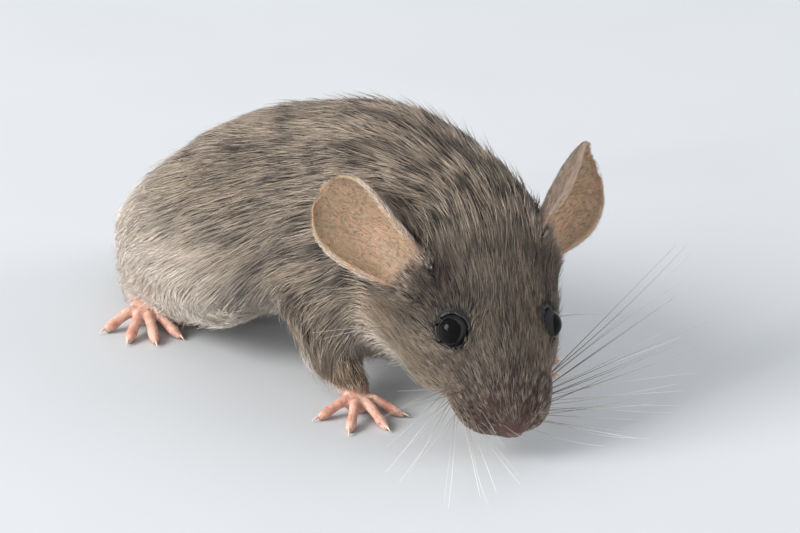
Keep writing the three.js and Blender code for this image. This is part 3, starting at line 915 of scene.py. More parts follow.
def veinsIn(tree, spot):
    # thin branching lines: the edges of large cells, bent by noise
    bend = place(tree, "ShaderNodeTexNoise", {"Vector": spot, "Scale": 1 / (bareRelief["bend"] * mm)})
    by = (bareRelief["bendBy"] * mm,) * 3
    push = place(tree, "ShaderNodeVectorMath", {0: bend.outputs["Color"], 1: by}, operation="MULTIPLY")
    bent = place(tree, "ShaderNodeVectorMath", {0: spot, 1: push.outputs[0]}, operation="ADD").outputs[0]
    return ranged(tree, cellEdges(tree, bent, bareRelief["vein"]), 0.07, 0.0)


def makeBareGroup():
    # colour and relief of bare skin on ears, feet, tail and lids
    tree, get, out = newGroup("bareSkin", bareInputs, ("Color", "Height", "Roughness"))
    colours, relief = bareColours, bareRelief
    blotch = noise(tree, relief["blotch"], 3.0)
    foot = mixed(tree, ranged(tree, blotch, 0.35, 0.7), colours["pink"], colours["deep"])
    rings = maths(tree, "SINE", times(tree, get["TailRun"], 2 * math.pi / relief["ring"]))
    scale = ranged(tree, rings, -1.0, 0.2)
    tail = mixed(tree, scale, colours["tailGrey"], colours["tailPink"])
    stipple = ranged(tree, noise(tree, relief["stipple"], 1.0), 0.38, 0.62)
    ear = mixed(tree, stipple, colours["earDark"], colours["ear"])
    warm = times(tree, get["EarDepth"], ranged(tree, blotch, 0.2, 0.6, 0.5, 1.0))
    ear = mixed(tree, warm, ear, colours["earPink"])
    ear = mixed(tree, get["EarBack"], ear, colours["earBack"])
    spot = inObject(tree)
    ear = mixed(tree, times(tree, veinsIn(tree, spot), relief["veinShows"]), ear, colours["deep"])
    colour = mixed(tree, get["Ear"], mixed(tree, get["Tail"], foot, tail), ear)
    colour = mixed(tree, ranged(tree, get["Lid"], 0.0, 0.3), colour, colours["lid"])
    creased = times(tree, ranged(tree, cellEdges(tree, spot, relief["crease"]), 0.0, 0.14), get["Foot"])
    ringed = times(tree, times(tree, scale, get["Tail"]), relief["ringDepth"])
    grain = times(tree, noise(tree, relief["grain"]), relief["grainDepth"])
    height = maths(tree, "ADD", maths(tree, "ADD", creased, ringed), grain)
    rough = mixed(tree, get["Lid"], (relief["rough"],) * 3, (relief["lidRough"],) * 3)
    setInputs(tree, out, {"Color": colour, "Height": height, "Roughness": rough})
    return tree


skinSet = {"streak": 0.5, "along": (0.35, 0.75, 0.1, 0.5), "muzzle": 0.85, "bump": 0.6, "depth": 0.06}


def makeSkinMaterial():
    made, tree, shader = newMaterial("mouseSkin", {
        "Specular IOR Level": 0.4, **scatter(0.5, (1.0, 0.5, 0.3), 1.0)})
    streak = noise(tree, skinSet["streak"], 3.0)
    under = dict(readings(tree, markAndLightInputs), Along=ranged(tree, streak, *skinSet["along"]), Shade=streak)
    coat = useGroup(tree, coatGroup, under)
    bare = useGroup(tree, makeBareGroup(), readings(tree, bareInputs))
    shown = times(tree, reading(tree, "muzzle"), skinSet["muzzle"])
    muzzle = mixed(tree, shown, coat["Color"], bareColours["muzzle"])
    setInputs(tree, shader, {"Base Color": mixed(tree, reading(tree, "bare"), muzzle, bare["Color"]),
                             "Roughness": bare["Roughness"],
                             "Normal": bumped(tree, bare["Height"], skinSet["bump"], skinSet["depth"])})
    return made


def makeSkin():
    bare = np.maximum.reduce(list(skinBare.values()))
    depth = np.zeros(len(skinPoints))
    for ear in ears.values():
        share, angle, _, gap = inEar(skinPoints, ear)
        here = fall(gap, 0, 0.6) * fall(share, 0.3, 0.85) * fall(np.abs(angle), 0.3, 0.9)
        depth = np.maximum(depth, here)
    values = dict(skinMarksAndLight, **skinBare, bare=bare, earDepth=depth, earBack=earRim(skinPoints)[1],
                  tailRun=onTail(skinPoints)[2])
    skin = meshFrom("skin", skinPoints, skinFaces, makeSkinMaterial(), values)
    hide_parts("head", "neck", "trunk", *legNames, *feet, *ears,
                "tail_root", "tail_upper", "tail_lower", "tail_tip")
    belongs(skin)


makeSkin()
print("skin made")


# The coat: many thin tapered spikes, each rooted in the skin and following its curve
coatSet = {
    # hairs per square mm, width, pull towards the middle of a clump, clump spacing, share of longer guard hairs
    "body": {"density": 20.5, "width": 0.1, "pull": 0.45, "clump": 1.0, "guard": 0.04},
    "head": {"density": 74.0, "width": 0.056, "pull": 0.35, "clump": 0.6, "guard": 0.03},
    "limb": {"density": 15.0, "width": 0.075, "pull": 0.25, "clump": 0.5, "guard": 0.03},
    "ear": {"density": 34.0, "width": 0.026, "pull": 0.1, "clump": 0.5, "guard": 0.03},
    # shares of the length at which a hair has a ring of points, triangles in a piece, share of the UV square
    "steps": (0, 0.5, 1.0), "mostTriangles": 190000, "patch": 0.003,
}
# sink: how deep the root sits; stray: degrees at random and by patches; most: how far a ring may be moved
growth = {"sink": 0.12, "stray": (6, 7), "strayPatch": 7,
          "layer": (0.3, 1.15), "layerPatch": 5, "layerRipple": 0.15,
          "guardLayer": 1.25, "guardLift": 0.2, "guardLength": 1.2, "rise": 1.7, "most": 1.3, "pullPower": 1.3,
          "eyeClear": 1.88, "floorClear": 0.05, "earClear": 0.1}
shortHairs = {"leg": 1.6, "tail": 0.9, "foot": 0.6, "byEar": 1.3, "ear": 0.6, "earRim": 0.45,
              "byEye": (0.55, 0.45)}
bodyLength = [(-30, 4.4), (-12, 5.4), (5, 6.2), (20, 6.0), (27, 4.6)]  # by y
headLength = [(-0.5, 0.9), (2, 1.2), (5, 1.7), (9, 2.3), (13, 3.1), (18, 4.0), (25, 5.0)]  # by y on the head


def hairLength(points):
    spots = toHead(points)
    body = np.interp(points[:, 1], *zip(*bodyLength))
    head = np.interp(spots[:, 1], *zip(*headLength))
    inHead = fall(skinParts["head"]["distance"](points), 0.0, 2.0) * fall(spots[:, 1], 18, 25)
    length = body * (1 - inHead) + head * inHead
    legs = fall(nearest(points, legNames), 0.0, 1.0) * fall(points[:, 2], 2.5, 9)
    length = length * (1 - legs) + legs * shortHairs["leg"]
    length = np.where(skinBare["tail"] > 0.3, shortHairs["tail"], length)
    length = np.where(skinBare["foot"] > 0.4, shortHairs["foot"], length)
    byEar = fall(nearest(points, ears), 0.2, 1.3)
    length = length * (1 - byEar) + byEar * shortHairs["byEar"]
    onEar = shortHairs["ear"] + shortHairs["earRim"] * earRim(points)[1]
    length = np.where(skinBare["ear"] > 0.5, onEar, length)
    byEye, more = shortHairs["byEye"]
    return length * (byEye + more * ramp(eyeGap(spots), 2.2, 5.0))


def regionsOf(points):
    # which recipe each skin vertex follows
    spots = toHead(points)
    region = np.full(len(points), "body", object)
    region[(skinParts["head"]["distance"](points) < 0.5) & (spots[:, 1] < 19)] = "head"
    shin = (nearest(points, legNames) < 0.4) & (points[:, 2] < 5.5)
    region[shin | (skinBare["foot"] > 0.3) | (skinBare["tail"] > 0.3)] = "limb"
    region[skinBare["ear"] > 0.4] = "ear"
    return region


nosePad = {"place": (0.0, 0.72, 0.2), "radii": (1.3, 0.95, 0.75), "cell": 0.07,
           "low": (-1.6, -0.9, -1.0), "high": (1.6, 1.6, 1.4)}
thinner = {"muzzle": 0.3, "belly": 0.35, "foot": 0.3, "tail": 0.45}


def thinning(points, outward, region):
    # no hairs on the lids, the nose or the soles, and fewer on the muzzle, the belly, the feet and the tail
    spots = toHead(points)
    density = ramp(eyeGap(spots), 1.98, 2.2)
    density *= ramp(ellipsoid(spots, nosePad["place"], nosePad["radii"]), 0.15, 0.5)
    density *= 1 - thinner["muzzle"] * skinMarksAndLight["muzzle"]
    belly = 1 - thinner["belly"] * fall(outward[:, 2], -0.9, -0.3)
    density = np.where(region == "body", density * belly, density)
    foot = density * thinner["foot"] * ramp(outward[:, 2], -0.1, 0.4)
    density = np.where(skinBare["foot"] > 0.3, foot, density)
    density = np.where(skinBare["tail"] > 0.3, density * thinner["tail"], density)
    return density * (points[:, 2] > growth["sink"])


def rootsFor(name, region, density, draw):
    share = (region == name) * density * coatSet[name]["density"]
    corners = skinPoints[skinFaces]
    area = np.linalg.norm(np.cross(corners[:, 1] - corners[:, 0], corners[:, 2] - corners[:, 0]), axis=1) / 2
    weight = area * share[skinFaces].mean(1)
    count = int(weight.sum())
    chosen = np.searchsorted(np.cumsum(weight) / weight.sum(), draw.random(count)).clip(0, len(weight) - 1)
    a, b = draw.random(count), draw.random(count)
    flip = a + b > 1
    a[flip], b[flip] = 1 - a[flip], 1 - b[flip]
    bary = np.stack([1 - a - b, a, b], 1)
    return chosen, bary


def spread(values, chosen, bary):
    corner = values[skinFaces[chosen]]
    if corner.ndim == 2:
        return (corner * bary).sum(1)
    return (corner * bary[:, :, None]).sum(1)


def clumpOf(roots, spacing, draw):
    # picks well spread leaders among the hairs and gives each hair its nearest one
    cells = np.floor(roots / spacing).astype(int)
    order = draw.permutation(len(roots))
    _, first = np.unique(cells[order], axis=0, return_index=True)
    leaders = order[first]
    tree = KDTree(len(leaders))
    for i, leader in enumerate(leaders):
        tree.insert(roots[leader], i)
    tree.balance()
    clump = np.array([tree.find(root)[1] for root in roots])
    return leaders[clump], clump


def growHairs(name, root, outward, way, length, depth, draw):
    # points of every hair from root to tip, at rising heights over the skin
    recipe, steps, count = coatSet[name], coatSet["steps"], len(root)
    atRandom, byPatch = growth["stray"]
    stray = np.radians(draw.normal(0, atRandom, count) + byPatch * ripple(root, growth["strayPatch"], 31))
    way = unit(way * np.cos(stray)[:, None] + np.cross(outward, way) * np.sin(stray)[:, None])
    layer = draw.uniform(*growth["layer"], count)
    layer = layer * (1 + growth["layerRipple"] * ripple(root, growth["layerPatch"], 32))
    guard = draw.random(count) < recipe["guard"]
    lifted = layer * growth["guardLayer"] + growth["guardLift"] + 0.4 * fall(root[:, 1], -10, 2)
    layer = np.where(guard, lifted, layer)
    length = np.where(guard, length * growth["guardLength"], length)
    rings = [root - outward * growth["sink"]]
    here, up = root, outward
    bad = np.zeros(count, bool)
    for before, now in zip(steps[:-1], steps[1:]):
        ahead = here + way * (length * (now - before))[:, None]
        height = depth * layer * (1 - (1 - now) ** growth["rise"])
        value, slope = feel(skinField, ahead)
        move = (value - height) / np.maximum(np.linalg.norm(slope, axis=1), 0.3)
        bad |= np.abs(move) > growth["most"] + 0.25 * length
        up = unit(up + unit(slope))
        here = ahead - unit(slope) * np.clip(move, -growth["most"], growth["most"])[:, None]
        way = unit(way - (way * up).sum(1)[:, None] * up)
        rings.append(here)
    rings = np.stack(rings, 1)
    leaders, clump = clumpOf(root, recipe["clump"], draw)
    reach = np.linalg.norm(rings[:, -1] - rings[leaders][:, -1], axis=1)
    pull = recipe["pull"] * draw.uniform(0.5, 1.2, count) * (reach < 2.5 * recipe["clump"]) * ~guard
    for k, step in enumerate(steps[1:], 1):
        rings[:, k] += (rings[leaders][:, k] - rings[:, k]) * (pull * step**growth["pullPower"])[:, None]
    # hairs that would cross an eye, the floor or an ear are left out
    bad |= (eyeGap(toHead(rings.reshape(-1, 3))).reshape(count, -1) < growth["eyeClear"]).any(1)
    bad |= (rings[:, :, 2] < growth["floorClear"]).any(1)
    if name != "ear":
        bad |= (nearest(rings[:, 1:].reshape(-1, 3), ears).reshape(count, -1) < -growth["earClear"]).any(1)
    return rings, clump, guard, ~bad


def repeated(faces, count, each):
    # the same faces for each of several forms with the same number of points
    return (np.array(faces)[None] + (np.arange(count) * each)[:, None, None]).reshape(-1, 3)


def spikesFrom(rings, outward, width):
    # three-sided closed spikes round each line of points
    count, rows, _ = rings.shape
    shape = np.interp(np.linspace(0, 1, rows), (0, 0.35, 0.75, 1), (0.8, 1.0, 0.72, 0.0))
    ahead = unit(np.gradient(rings, axis=1))
    side = unit(np.cross(ahead, outward[:, None, :]))
    over = np.cross(side, ahead)
    points = []
    for k in range(rows - 1):
        for angle in (90, 210, 330):
            turn = math.radians(angle)
            reach = (width * shape[k] / 2)[:, None]
            points.append(rings[:, k] + reach * (side[:, k] * math.cos(turn) + over[:, k] * math.sin(turn)))
    points.append(rings[:, -1])
    points = np.stack(points, 1)
    faces, spots = [(0, 2, 1)], [((0, 0), (1, 0), (0.5, 0))]
    for k in range(rows - 2):
        low, high = k / (rows - 1), (k + 1) / (rows - 1)
        for j in range(3):
            a, b = 3 * k + j, 3 * k + (j + 1) % 3
            faces += [(a, b, b + 3), (a, b + 3, a + 3)]
            u, v = j / 3, (j + 1) / 3
            spots += [((u, low), (v, low), (v, high)), ((u, low), (v, high), (u, high))]
    last, low = 3 * (rows - 2), (rows - 2) / (rows - 1)
    for j in range(3):
        faces.append((last + j, last + (j + 1) % 3, last + 3))
        spots.append(((j / 3, low), ((j + 1) / 3, low), ((j + 0.5) / 3, 1)))
    each = points.shape[1]
    along = np.append(np.repeat(np.linspace(0, 1, rows)[:-1], 3), 1.0)
    return points.reshape(-1, 3), repeated(faces, count, each), np.array(spots, float), each, along


def roundShare(x, z):
    return np.arctan2(x, z) / (2 * math.pi) + 0.5


def unwrapBody(root):
    # round the body's own axis and along it
    axis, axisHeight = np.interp(root[:, 1], (-25, 0), (-3, 0)), 13
    return roundShare(root[:, 0] - axis, root[:, 2] - axisHeight), root[:, 1]


def unwrapHead(root):
    spots = toHead(root)
    return roundShare(spots[:, 0], spots[:, 2] + 0.5), spots[:, 1]


unwrap = {"legReach": 12, "tailReach": 84, "used": 0.96}


def unwrapLimb(root):
    # one chart for each leg with its foot, and one for the tail
    gaps = [nearest(root, [n for n in skinParts if n.startswith((name, name.replace("leg", "foot")))])
            for name in legNames]
    gaps.append(nearest(root, tailNames))
    which = np.argmin(gaps, axis=0)
    angle, run = np.zeros(len(root)), np.zeros(len(root))
    for i, name in enumerate(legNames):
        mine = which == i
        line = np.array(bodyShape["legs"][name])[:, :3]
        q = root[mine] - line[-1]
        angle[mine] = roundShare(q[:, 0], q[:, 1])
        run[mine] = np.clip(np.linalg.norm(q, axis=1) / unwrap["legReach"], 0, 1)
    mine = which == len(legNames)
    angle[mine] = (root[mine][:, 2] / 8 + root[mine][:, 0] / 90 + 0.4).clip(0, 1)
    run[mine] = onTail(root[mine])[2] / unwrap["tailReach"]
    return (which + angle * unwrap["used"]) / len(gaps), run


def unwrapEar(root):
    # each face of each ear has its own chart
    chart, across, along = np.zeros(len(root)), np.zeros(len(root)), np.zeros(len(root))
    best = np.full(len(root), 99.0)
    for i, ear in enumerate(ears.values()):
        share, angle, sheet, gap = inEar(root, ear)
        mine = gap < best
        best[mine] = gap[mine]
        chart[mine] = (2 * i + (sheet > 0))[mine]
        across[mine], along[mine] = (angle[mine].clip(-1, 1) + 1) / 2, share[mine]
    return (chart + across * unwrap["used"]) / (2 * len(ears)), along


unwraps = {"body": unwrapBody, "head": unwrapHead, "limb": unwrapLimb, "ear": unwrapEar}
# dark tufts: how often, how much more often on dark places, how dark; then what makes one hair's shade
tint = {"tuft": 0.03, "tuftOnDark": 0.42, "tuftDark": 0.9,
        "clumpShade": 0.5, "ownShade": 0.5, "guardShade": 0.35,
        "tanSpread": 0.15, "earDark": 0.3, "earTan": 0.9, "paleRoot": 0.6}
vary = {"length": (0.72, 1.2), "width": (0.75, 1.2), "guardWidth": 0.75, "slim": 0.045, "leastWidth": 0.01}


def makeCoat(name, region, density, lengths, depths, material, seed):
    draw = np.random.default_rng(seed)
    recipe = coatSet[name]
    chosen, bary = rootsFor(name, region, density, draw)
    root, outward = spread(skinPoints, chosen, bary), unit(spread(skinOut, chosen, bary))
    way = unit(spread(skinLie, chosen, bary))
    length = spread(lengths, chosen, bary) * draw.uniform(*vary["length"], len(root))
    depth = spread(depths, chosen, bary)
    rings, clump, guard, kept = growHairs(name, root, outward, way, length, depth, draw)
    marksAndLight = {key: spread(value, chosen, bary) for key, value in skinMarksAndLight.items()}
    clumpShade = draw.random(clump.max() + 1)[clump]
    if name == "body":
        tuft = clumpShade < tint["tuft"] + tint["tuftOnDark"] * marksAndLight["dark"]
        marksAndLight["dark"] = np.clip(marksAndLight["dark"] + tint["tuftDark"] * tuft, 0, 1)
    shade = tint["clumpShade"] * clumpShade + tint["ownShade"] * draw.random(len(root))
    shade = np.clip(shade + tint["guardShade"] * guard, 0, 1)
    if name == "ear":
        rim, behind = earRim(root)
        marksAndLight["pale"], marksAndLight["dark"] = rim, tint["earDark"] * (1 + behind) * (1 - rim)
        marksAndLight["tan"] = tint["earTan"] * (1 - rim) * (1 - behind)
    marksAndLight["tan"] = np.clip(marksAndLight["tan"] + draw.normal(0, tint["tanSpread"], len(root)), 0, 1)
    width = recipe["width"] * draw.uniform(*vary["width"], len(root)) * np.where(guard, vary["guardWidth"], 1)
    width = np.minimum(width, length * vary["slim"] + vary["leastWidth"])
    across, along = unwraps[name](root)
    order = np.argsort(along[kept])
    picked = np.flatnonzero(kept)[order]
    perHair = 6 * (len(coatSet["steps"]) - 2) + 4
    pieces = max(1, math.ceil(len(picked) * perHair / coatSet["mostTriangles"]))
    patch = coatSet["patch"]
    for i, mine in enumerate(np.array_split(picked, pieces)):
        points, faces, spots, each, alongHair = spikesFrom(rings[mine], outward[mine], width[mine])
        if name in ("ear", "limb"):
            alongHair = tint["paleRoot"] + (1 - tint["paleRoot"]) * alongHair  # short hairs without a dark root
        low, high = along[mine].min(), along[mine].max()
        corner = np.stack([across[mine], (along[mine] - low) / max(high - low, 1e-6)], 1)
        corner = corner * (1 - 2 * patch) + patch / 2
        uv = corner[:, None, None, :] + spots[None] * patch
        values = {key: np.repeat(value[mine], each) for key, value in marksAndLight.items()}
        values.update(along=np.tile(alongHair, len(mine)), shade=np.repeat(shade[mine], each))
        piece = meshFrom(f"coat_{name}_{i + 1}", points, faces, material, values, uv.reshape(-1, 2))
        belongs(piece)
    print("coat", name, len(picked), "hairs", len(picked) * perHair, "triangles in", pieces, "pieces")


def makeWholeCoat():
    material = makeCoatMaterial()
    region = regionsOf(skinPoints)
    density = thinning(skinPoints, skinOut, region)
    lengths = hairLength(skinPoints)
    least, most, onEar = 0.1, 1.6, 0.18
    depths = np.clip(-furField(skinPoints), least, most)
    depths = np.where(skinBare["ear"] > 0.5, onEar, depths)
    for seed, name in enumerate(unwraps, 40):
        makeCoat(name, region, density, lengths, depths, material, seed)


makeWholeCoat()


# Eyes, nose, claws and whiskers
eyeSet = {"rows": 40, "around": 64, "patch": 0.7,
          "dark": (0.002, 0.0017, 0.002), "light": (0.005, 0.004, 0.004)}


def makeEyes():
    material, tree, shader = newMaterial("wetEye", {
        "Roughness": 0.03, "IOR": 1.376, "Specular IOR Level": 0.15})
    colour = mixed(tree, noise(tree, eyeSet["patch"]), eyeSet["dark"], eyeSet["light"])
    setInputs(tree, shader, {"Base Color": colour})
    rows, around = eyeSet["rows"], eyeSet["around"]
    theta, phi = np.meshgrid(np.linspace(0, math.pi, rows + 1), np.arange(around) * 2 * math.pi / around,
                             indexing="ij")
    ball = np.stack([np.sin(theta) * np.cos(phi), np.sin(theta) * np.sin(phi), np.cos(theta)], -1)
    ball = ball.reshape(-1, 3)
    faces = []
    for i in range(rows):
        for j in range(around):
            a, b = i * around + j, i * around + (j + 1) % around
            faces.append((a, a + around, b + around, b))
    for name, side in (("eye_left", 1), ("eye_right", -1)):
        points = fromHead(ball * eyeBall["radius"] + mirrored(eyeBall["place"], side))
        eye = meshFrom(name.replace("eye_", "eyeball_"), points, np.array(faces), material)
        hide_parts(name)
        belongs(eye)


noseSet = {"dark": (0.105, 0.05, 0.038), "light": (0.22, 0.115, 0.085), "blotch": 0.6, "grain": 0.1,
           "rough": (0.35, 0.55), "bump": 0.5, "depth": 0.03,
           # x, y, z, radius in the head's frame: one nostril and the cleft between them
           "slit": [(0.62, -0.38, 0.12, 0.17), (0.86, -0.22, 0.22, 0.15), (1.2, 0.15, 0.30, 0.09)],
           "cleft": [(0.0, -0.62, 0.75, 0.07), (0.0, -0.55, 0.0, 0.1), (0.0, -0.35, -0.7, 0.12)],
           "slitBlend": 0.12, "cleftBlend": 0.15}


def makeNose():
    material, tree, shader = newMaterial("moistNose", {
        "Specular IOR Level": 0.5, "Coat Weight": 0.25, "Coat Roughness": 0.25,
        **scatter(0.2, (1.0, 0.4, 0.3), 0.5)})
    blotch, grain = noise(tree, noseSet["blotch"], 3.0), noise(tree, noseSet["grain"], 1.0)
    setInputs(tree, shader, {"Base Color": mixed(tree, blotch, noseSet["dark"], noseSet["light"]),
                             "Roughness": ranged(tree, grain, 0.3, 0.7, *noseSet["rough"]),
                             "Normal": bumped(tree, grain, noseSet["bump"], noseSet["depth"])})
    cuts = [(np.array(noseSet["slit"]) * (side, 1, 1, 1), noseSet["slitBlend"]) for side in (-1, 1)]
    cuts.append((np.array(noseSet["cleft"]), noseSet["cleftBlend"]))

    def pad(spots):
        value = ellipsoid(spots, nosePad["place"], np.array(nosePad["radii"]))
        for line, blend in cuts:
            value = smoothMax(value, -onTube(spots, line)[0], blend)
        return value
    points, faces = netOver(pad, nosePad["low"], nosePad["high"], nosePad["cell"])
    points, _ = settle(points, pad, rounds=2, most=0.05)
    nose = meshFrom("nosePad", fromHead(points), faces, material)
    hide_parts("nose")
    belongs(nose)


def tubesFrom(lines, sides):
    # lines: arrays of x, y, z, radius, all with the same number of rows, closed at both ends
    lines = np.array(lines)
    count, rows, _ = lines.shape
    middle = lines[:, :, :3]
    ahead = unit(np.gradient(middle, axis=1))
    side = unit(np.cross(ahead, np.array([0.13, 0.21, 1.0])))
    over = np.cross(side, ahead)
    turn = np.arange(sides) * 2 * math.pi / sides
    ring = side[:, :, None] * np.cos(turn)[:, None] + over[:, :, None] * np.sin(turn)[:, None]
    points = middle[:, :, None] + ring * lines[:, :, 3][:, :, None, None]
    faces = []
    for k in range(rows - 1):
        for j in range(sides):
            a, b = k * sides + j, k * sides + (j + 1) % sides
            faces += [(a, b, b + sides), (a, b + sides, a + sides)]
    for j in range(1, sides - 1):
        faces.append((0, j + 1, j))
        faces.append(((rows - 1) * sides, (rows - 1) * sides + j, (rows - 1) * sides + j + 1))
    each = rows * sides
    along = np.tile(np.repeat(np.linspace(0, 1, rows), sides), count)
    return points.reshape(-1, 3), repeated(faces, count, each), along


clawSet = {"length": 1.25, "radius": 0.2, "tipRadius": 0.02, "rows": 8, "sides": 8, "inset": 0.25, "lift": 0.35,
           "arch": 0.1, "tipHeight": 0.1, "floor": 0.08, "root": (0.62, 0.36, 0.28), "tip": (0.74, 0.62, 0.50),
           "stain": (0.5, 0.33, 0.25), "stained": 0.3, "grain": 0.12, "bump": 0.3, "depth": 0.02}


def makeClaws():
    material, tree, shader = newMaterial("clawHorn", {
        "Specular IOR Level": 0.5, "Roughness": 0.32, **scatter(0.25, (1.0, 0.6, 0.4), 0.4)})
    tone = mixed(tree, ranged(tree, reading(tree, "along"), 0.1, 0.9), clawSet["root"], clawSet["tip"])
    grain = noise(tree, clawSet["grain"])
    colour = mixed(tree, times(tree, grain, clawSet["stained"]), tone, clawSet["stain"])
    setInputs(tree, shader, {"Base Color": colour,
                             "Normal": bumped(tree, grain, clawSet["bump"], clawSet["depth"])})
    lines = []
    for foot in feet.values():
        for line in toeLines(foot):
            tip, before = line[-1], line[-4]
            ahead = unit((tip[:3] - before[:3]) * (1, 1, 0))
            start = tip[:3] - ahead * clawSet["inset"] + (0, 0, tip[3] * clawSet["lift"])
            rows = []
            for t in np.linspace(0, 1, clawSet["rows"]):
                height = start[2] + clawSet["arch"] * math.sin(t * 2.2)
                height = height - (start[2] - clawSet["tipHeight"]) * t**1.8
                x, y, _ = start + ahead * clawSet["length"] * t
                radius = clawSet["radius"] * (1 - t) ** 0.75 + clawSet["tipRadius"]
                rows.append((x, y, max(height, clawSet["floor"]), radius))
            lines.append(rows)
    points, faces, run = tubesFrom(lines, clawSet["sides"])
    belongs(meshFrom("claws", points, faces, material, {"along": run}))


whiskerSet = {
    "rows": 5, "columns": 5, "sides": 5, "steps": 22, "longest": 24.0, "shortest": 8.0, "radius": 0.036,
    "tipRadius": 0.012, "floor": 0.45,
    # where they stand on the head's side: the first column, the top row and the steps between them
    "front": 1.6, "columnStep": 1.15, "shift": 0.3, "top": 1.3, "rowStep": 0.85,
    # directions of the foremost and the hindmost whiskers on each side of the standing mouse
    "sweep": {-1: ((-0.55, -0.80, -0.10), (-0.95, -0.10, 0.05)),
              1: ((0.50, -0.85, -0.10), (0.95, -0.25, 0.28))},
    # two on each cheek: back and up on the head, length, how much they point up
    "cheek": ((14.5, -2.5, 9, -0.1), (15.5, -4.0, 7, -0.4)), "cheekRadius": 0.035, "cheekShade": 0.3,
    # how far outside the solids' box a whisker may reach, as a share of the box and in millimetres
    "spare": (0.03, 9.0), "tries": 14, "shorter": 0.95,
}


def boxRoom():
    low, high = np.array(cadLow) / mm - frameShift, np.array(cadHigh) / mm - frameShift
    share, more = whiskerSet["spare"]
    spare = (high - low) * share + more
    return low - spare, high + spare


def whiskerLine(root, way, sag, length, radius):
    low, high = boxRoom()
    t = np.linspace(0, 1, whiskerSet["steps"])[:, None]
    low[2] = -50  # the floor bends the whiskers, it doesn't shorten them
    for _ in range(whiskerSet["tries"]):
        line = root + way * length * t + sag * length * t**2
        if (line > low).all() and (line < high).all():
            break
        length *= whiskerSet["shorter"]
    floor = whiskerSet["floor"]
    bottom = line[:, 2] - floor
    line[:, 2] = floor + np.where(bottom < 1, np.exp(np.minimum(bottom - 1, 0)), bottom)
    return np.concatenate([line, radius * (1 - t) ** 0.8 + whiskerSet["tipRadius"]], 1)


def makeWhiskers():
    material, tree, shader = newMaterial("whiskerHair", {"Specular IOR Level": 0.6, "Roughness": 0.35})
    tone = ranged(tree, reading(tree, "along"), 0.15, 0.8)
    dark = mixed(tree, tone, (0.05, 0.042, 0.038), (0.30, 0.27, 0.24))
    light = mixed(tree, tone, (0.45, 0.40, 0.35), (0.85, 0.83, 0.80))
    setInputs(tree, shader, {"Base Color": mixed(tree, reading(tree, "shade"), dark, light)})
    draw = np.random.default_rng(90)
    lines, shades = [], []
    for side in (-1, 1):
        for row in range(whiskerSet["rows"]):
            for column in range(whiskerSet["columns"]):
                y = whiskerSet["front"] + column * whiskerSet["columnStep"] + whiskerSet["shift"] * (row % 2)
                root = surfaceFrom(side, y, whiskerSet["top"] - row * whiskerSet["rowStep"])
                reach = (column + 0.8) / whiskerSet["columns"]
                length = whiskerSet["shortest"] + (whiskerSet["longest"] - whiskerSet["shortest"]) * reach
                length *= draw.uniform(0.85, 1.1)
                front, rear = np.array(whiskerSet["sweep"][side])
                way = front + (rear - front) * column / (whiskerSet["columns"] - 1)
                way = unit(way + (0, 0, 0.22 - 0.11 * row) + draw.normal(0, 0.06, 3))
                sag = np.array([0, 0, -0.10]) + unit((0, 0.25, 0.1)) @ headTurn.T * draw.uniform(0.02, 0.18)
                lines.append(whiskerLine(root, way, sag, length, whiskerSet["radius"] * (0.55 + 0.45 * reach)))
                shades.append(float(np.clip(0.25 * row - 0.15 + draw.normal(0, 0.15) + 0.2 * (side < 0), 0, 1)))
        for y, z, length, up in whiskerSet["cheek"]:
            way = unit((side * 0.8, 0.15, up)) @ headTurn.T
            sag = np.array([0, 0.1, -0.15])
            lines.append(whiskerLine(surfaceFrom(side, y, z), way, sag, length, whiskerSet["cheekRadius"]))
            shades.append(whiskerSet["cheekShade"])
    points, faces, run = tubesFrom(lines, whiskerSet["sides"])
    each = len(points) // len(lines)
    values = {"along": run, "shade": np.repeat(shades, each)}
    belongs(meshFrom("whiskers", points, faces, material, values))


def surfaceFrom(side, y, z):
    # the skin's point straight in from the side of the head
    outside, inside, steps = 12, 0.5, 240
    x = np.linspace(outside, inside, steps)
    points = fromHead(np.stack([side * x, np.full(steps, y), np.full(steps, z)], 1))
    under = np.flatnonzero(skinField(points) < 0)
    return points[under[0]] if len(under) else points[-1]


makeEyes()
makeNose()
makeClaws()
makeWhiskers()
print("eyes, nose, claws and whiskers made")


# Camera, floor and light
cameraSet = {"lens": 140, "sensor": 36, "azimuth": -53, "elevation": 22, "distance": 350,
             "anchor": (-9.5, -14.0, 0.0), "pixel": (358, 398), "frame": (800, 533),
             "clip": (0.02, 20)}


def makeCamera():
    data = bpy.data.cameras.new("camera")
    data.lens, data.sensor_width = cameraSet["lens"], cameraSet["sensor"]
    data.clip_start, data.clip_end = cameraSet["clip"]
    a, e = math.radians(cameraSet["azimuth"]), math.radians(cameraSet["elevation"])
    back = np.array([math.sin(a) * math.cos(e), -math.cos(a) * math.cos(e), math.sin(e)])
    right = np.array([math.cos(a), math.sin(a), 0])
    up = np.cross(back, right)
    wide, high = cameraSet["frame"]
    focal = cameraSet["lens"] / cameraSet["sensor"] * wide
    across = (cameraSet["pixel"][0] - wide / 2) / focal * cameraSet["distance"]
    above = (high / 2 - cameraSet["pixel"][1]) / focal * cameraSet["distance"]
    spot = np.array(cameraSet["anchor"]) - right * across - up * above + back * cameraSet["distance"]
    camera = bpy.data.objects.new("camera", data)
    turn = Matrix(np.stack([right, up, back], 1)).to_4x4()
    camera.matrix_world = Matrix.Translation(Vector(toFrame(spot))) @ turn
    bpy.context.scene.collection.objects.link(camera)
    bpy.context.scene.camera = camera


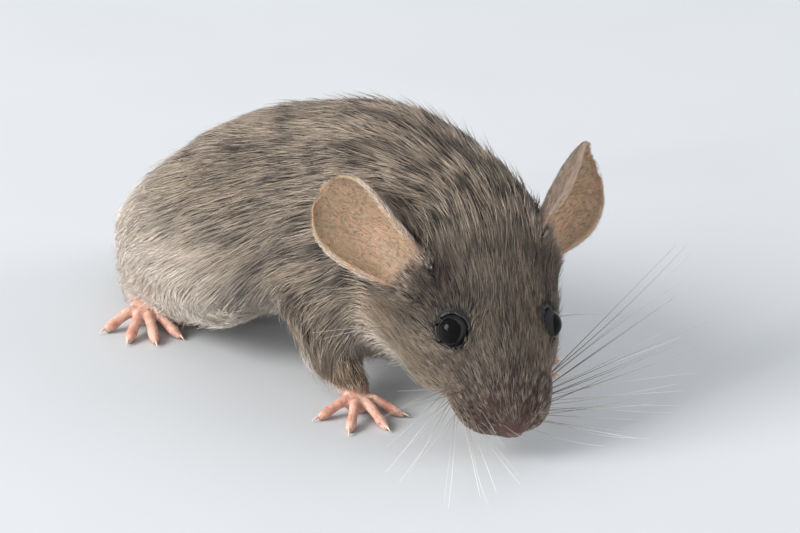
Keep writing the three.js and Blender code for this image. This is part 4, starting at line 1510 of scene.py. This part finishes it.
floorSet = {"half": 3000.0, "patch": 30, "rough": (0.55, 0.65), "dark": (0.515, 0.53, 0.55),
            "light": (0.545, 0.56, 0.575)}


def makeFloor():
    material, tree, shader = newMaterial("paleFloor", {"Specular IOR Level": 0.3})
    speck, half = noise(tree, floorSet["patch"], 3.0), floorSet["half"]
    setInputs(tree, shader, {"Base Color": mixed(tree, speck, floorSet["dark"], floorSet["light"]),
                             "Roughness": ranged(tree, speck, 0.3, 0.7, *floorSet["rough"])})
    points = np.array([(-1, -1, 0), (1, -1, 0), (1, 1, 0), (-1, 1, 0)]) * half
    floor = meshFrom("floor", points, np.array([(0, 1, 2, 3)]), material, flat=True)


# from: where the lamp hangs, in metres, aimed at the mouse; mirrored: whether it makes a shine in the eyes
lamps = {
    "key": {"from": (-0.80, 0.55, 0.60), "size": 0.7, "power": 15.5,
            "colour": (1.0, 0.985, 0.96), "mirrored": True},
    "fill": {"from": (0.50, -0.92, 0.45), "size": 0.8, "power": 5.5,
             "colour": (1.0, 0.985, 0.96), "mirrored": False},
    "catch": {"from": (-0.94, 0.20, 0.27), "size": 0.055, "power": 2.0,
              "colour": (1.0, 1.0, 1.0), "mirrored": True},
}
room = {"aim": (0, 0, 0.012), "colour": (0.88, 0.91, 0.95, 1), "strength": 0.85}


def makeLight():
    for name, lamp in lamps.items():
        data = bpy.data.lights.new(name, "AREA")
        data.shape, data.size = "DISK", lamp["size"]
        data.energy, data.color = lamp["power"], lamp["colour"]
        light = bpy.data.objects.new(name, data)
        light.location = lamp["from"]
        light.rotation_mode = "QUATERNION"
        light.rotation_quaternion = (Vector(lamp["from"]) - Vector(room["aim"])).to_track_quat("Z", "Y")
        light.visible_glossy = lamp["mirrored"]
        bpy.context.scene.collection.objects.link(light)
    world = bpy.data.worlds.new("softRoom")
    world.use_nodes = True
    background = world.node_tree.nodes["Background"]
    background.inputs["Color"].default_value = room["colour"]
    background.inputs["Strength"].default_value = room["strength"]
    bpy.context.scene.world = world
    bpy.context.scene.view_settings.view_transform = "Standard"


makeCamera()
makeFloor()
makeLight()
print("camera, floor and light made")
